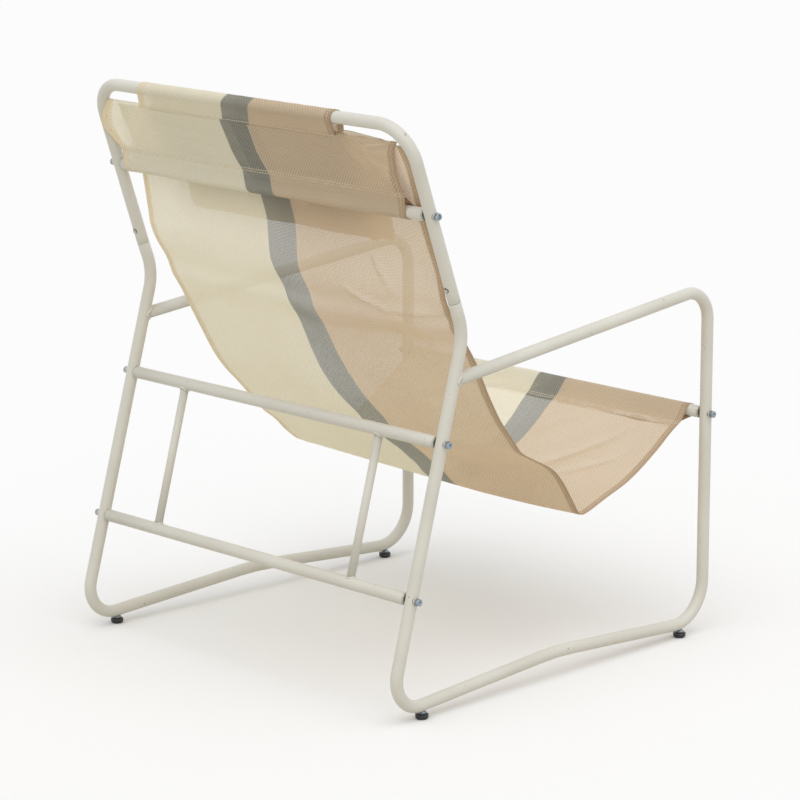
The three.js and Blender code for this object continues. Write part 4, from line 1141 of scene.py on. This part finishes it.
bag = stuffed_bag()
remesh = bag.modifiers.new("even", "REMESH")
remesh.mode = "VOXEL"
remesh.voxel_size = PILLOW_VOXEL
bag.data = applied(bag)
start = coordinates(bag.data)
held_top = bag.vertex_groups.new(name="held")
held_top.add(np.nonzero(start[:, 1] < BAG_HELD)[0].tolist(), 1.0, "REPLACE")
cloth = bag.modifiers.new("cloth", "CLOTH")
cloth.settings.use_pressure = True
cloth.settings.uniform_pressure_force = PILLOW_PRESSURE
cloth.settings.effector_weights.gravity = 0
cloth.settings.vertex_group_mass = "held"
for frame_number in range(1, PILLOW_FRAMES + 1):
    bpy.context.scene.frame_set(frame_number)
bag.data = applied(bag)
bpy.context.scene.frame_set(1)
moved = coordinates(bag.data) - start
far = np.linalg.norm(moved, axis=1, keepdims=True)
moved *= np.minimum(1, PILLOW_CAP / np.maximum(far, 1e-9))
bag.data.vertices.foreach_set("co", (start + moved).astype(np.float32).ravel())
finer = bag.modifiers.new("finer", "SUBSURF")
finer.levels = finer.render_levels = 1
bag.data = applied(bag)


def hang_pillow(points):
    """Hangs the flat bag on the front of the sheet. A point goes down the sheet by its y and
    stands off it by its z, over a middle plane that rises from the top seam to the lower one.
    Nothing comes closer to the sheet than a small gap, so the back lies flat on it."""
    x, fall, out = points.T
    down = np.clip(fall / PILLOW_LONG, 0, 1)
    rise = PILLOW_THICK / 2 * np.sin(math.pi / 2 * np.minimum(1, down * BELLY))
    side_on = np.clip((x + PILLOW_X - sheet_centre[0, 0, 0]) / sheet_wide, 0, 1)
    last = np.array(sheet_centre.shape[:2]) - 1
    row, column = last[0] - fall / SHEET_STEP, side_on * last[1]
    r, c = (np.clip(np.floor(place).astype(int), 0, end - 1)
            for place, end in zip((row, column), last))
    fr, fc = (row - r)[:, None], (column - c)[:, None]
    at = (sheet_centre[r, c] * (1 - fr) * (1 - fc) + sheet_centre[r + 1, c] * fr * (1 - fc)
          + sheet_centre[r, c + 1] * (1 - fr) * fc + sheet_centre[r + 1, c + 1] * fr * fc)
    back = unit(sheet_centre[-1, BACK_COLUMN] - sheet_centre[-BACK_ROWS, BACK_COLUMN])
    front = np.array([0, -back[2], back[1]])
    off = np.maximum(rise + out, 0) + LAYER + PILLOW_OFF
    hung = at + off[:, None] * front
    hung[:, 0] = x + PILLOW_X
    return hung


def pillow_cloth(place):
    """Plain woven cloth in beige, a little mottled, with a fine even weave."""
    over, under = (place.node("ShaderNodeTexWave", {"bands_direction": way},
                              {"Vector": place, "Scale": FINE_WEAVE}) for way in "XZ")
    mottle = place.noise(22.0, 3.0).between(0.3, 0.7)
    return {
        "Base Color": mottle.mixed(PILLOW_DEEP, PILLOW_PALE),
        "Roughness": over * 0.1 + 0.78,
        "Normal": (over + under).bump(0.00012, 0.5),
        "Sheen Weight": 0.25,
    }


hung = hang_pillow(coordinates(bag.data))
bag.data.vertices.foreach_set("co", hung.astype(np.float32).ravel())
bag.data.update()
bag.name = "head_pillow_bag"
bag.data.polygons.foreach_set("use_smooth", [True] * len(bag.data.polygons))
fitted(bag, surface("pillow_cloth", pillow_cloth), "chair", "pillow_fabric", "head_pillow")

low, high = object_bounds()
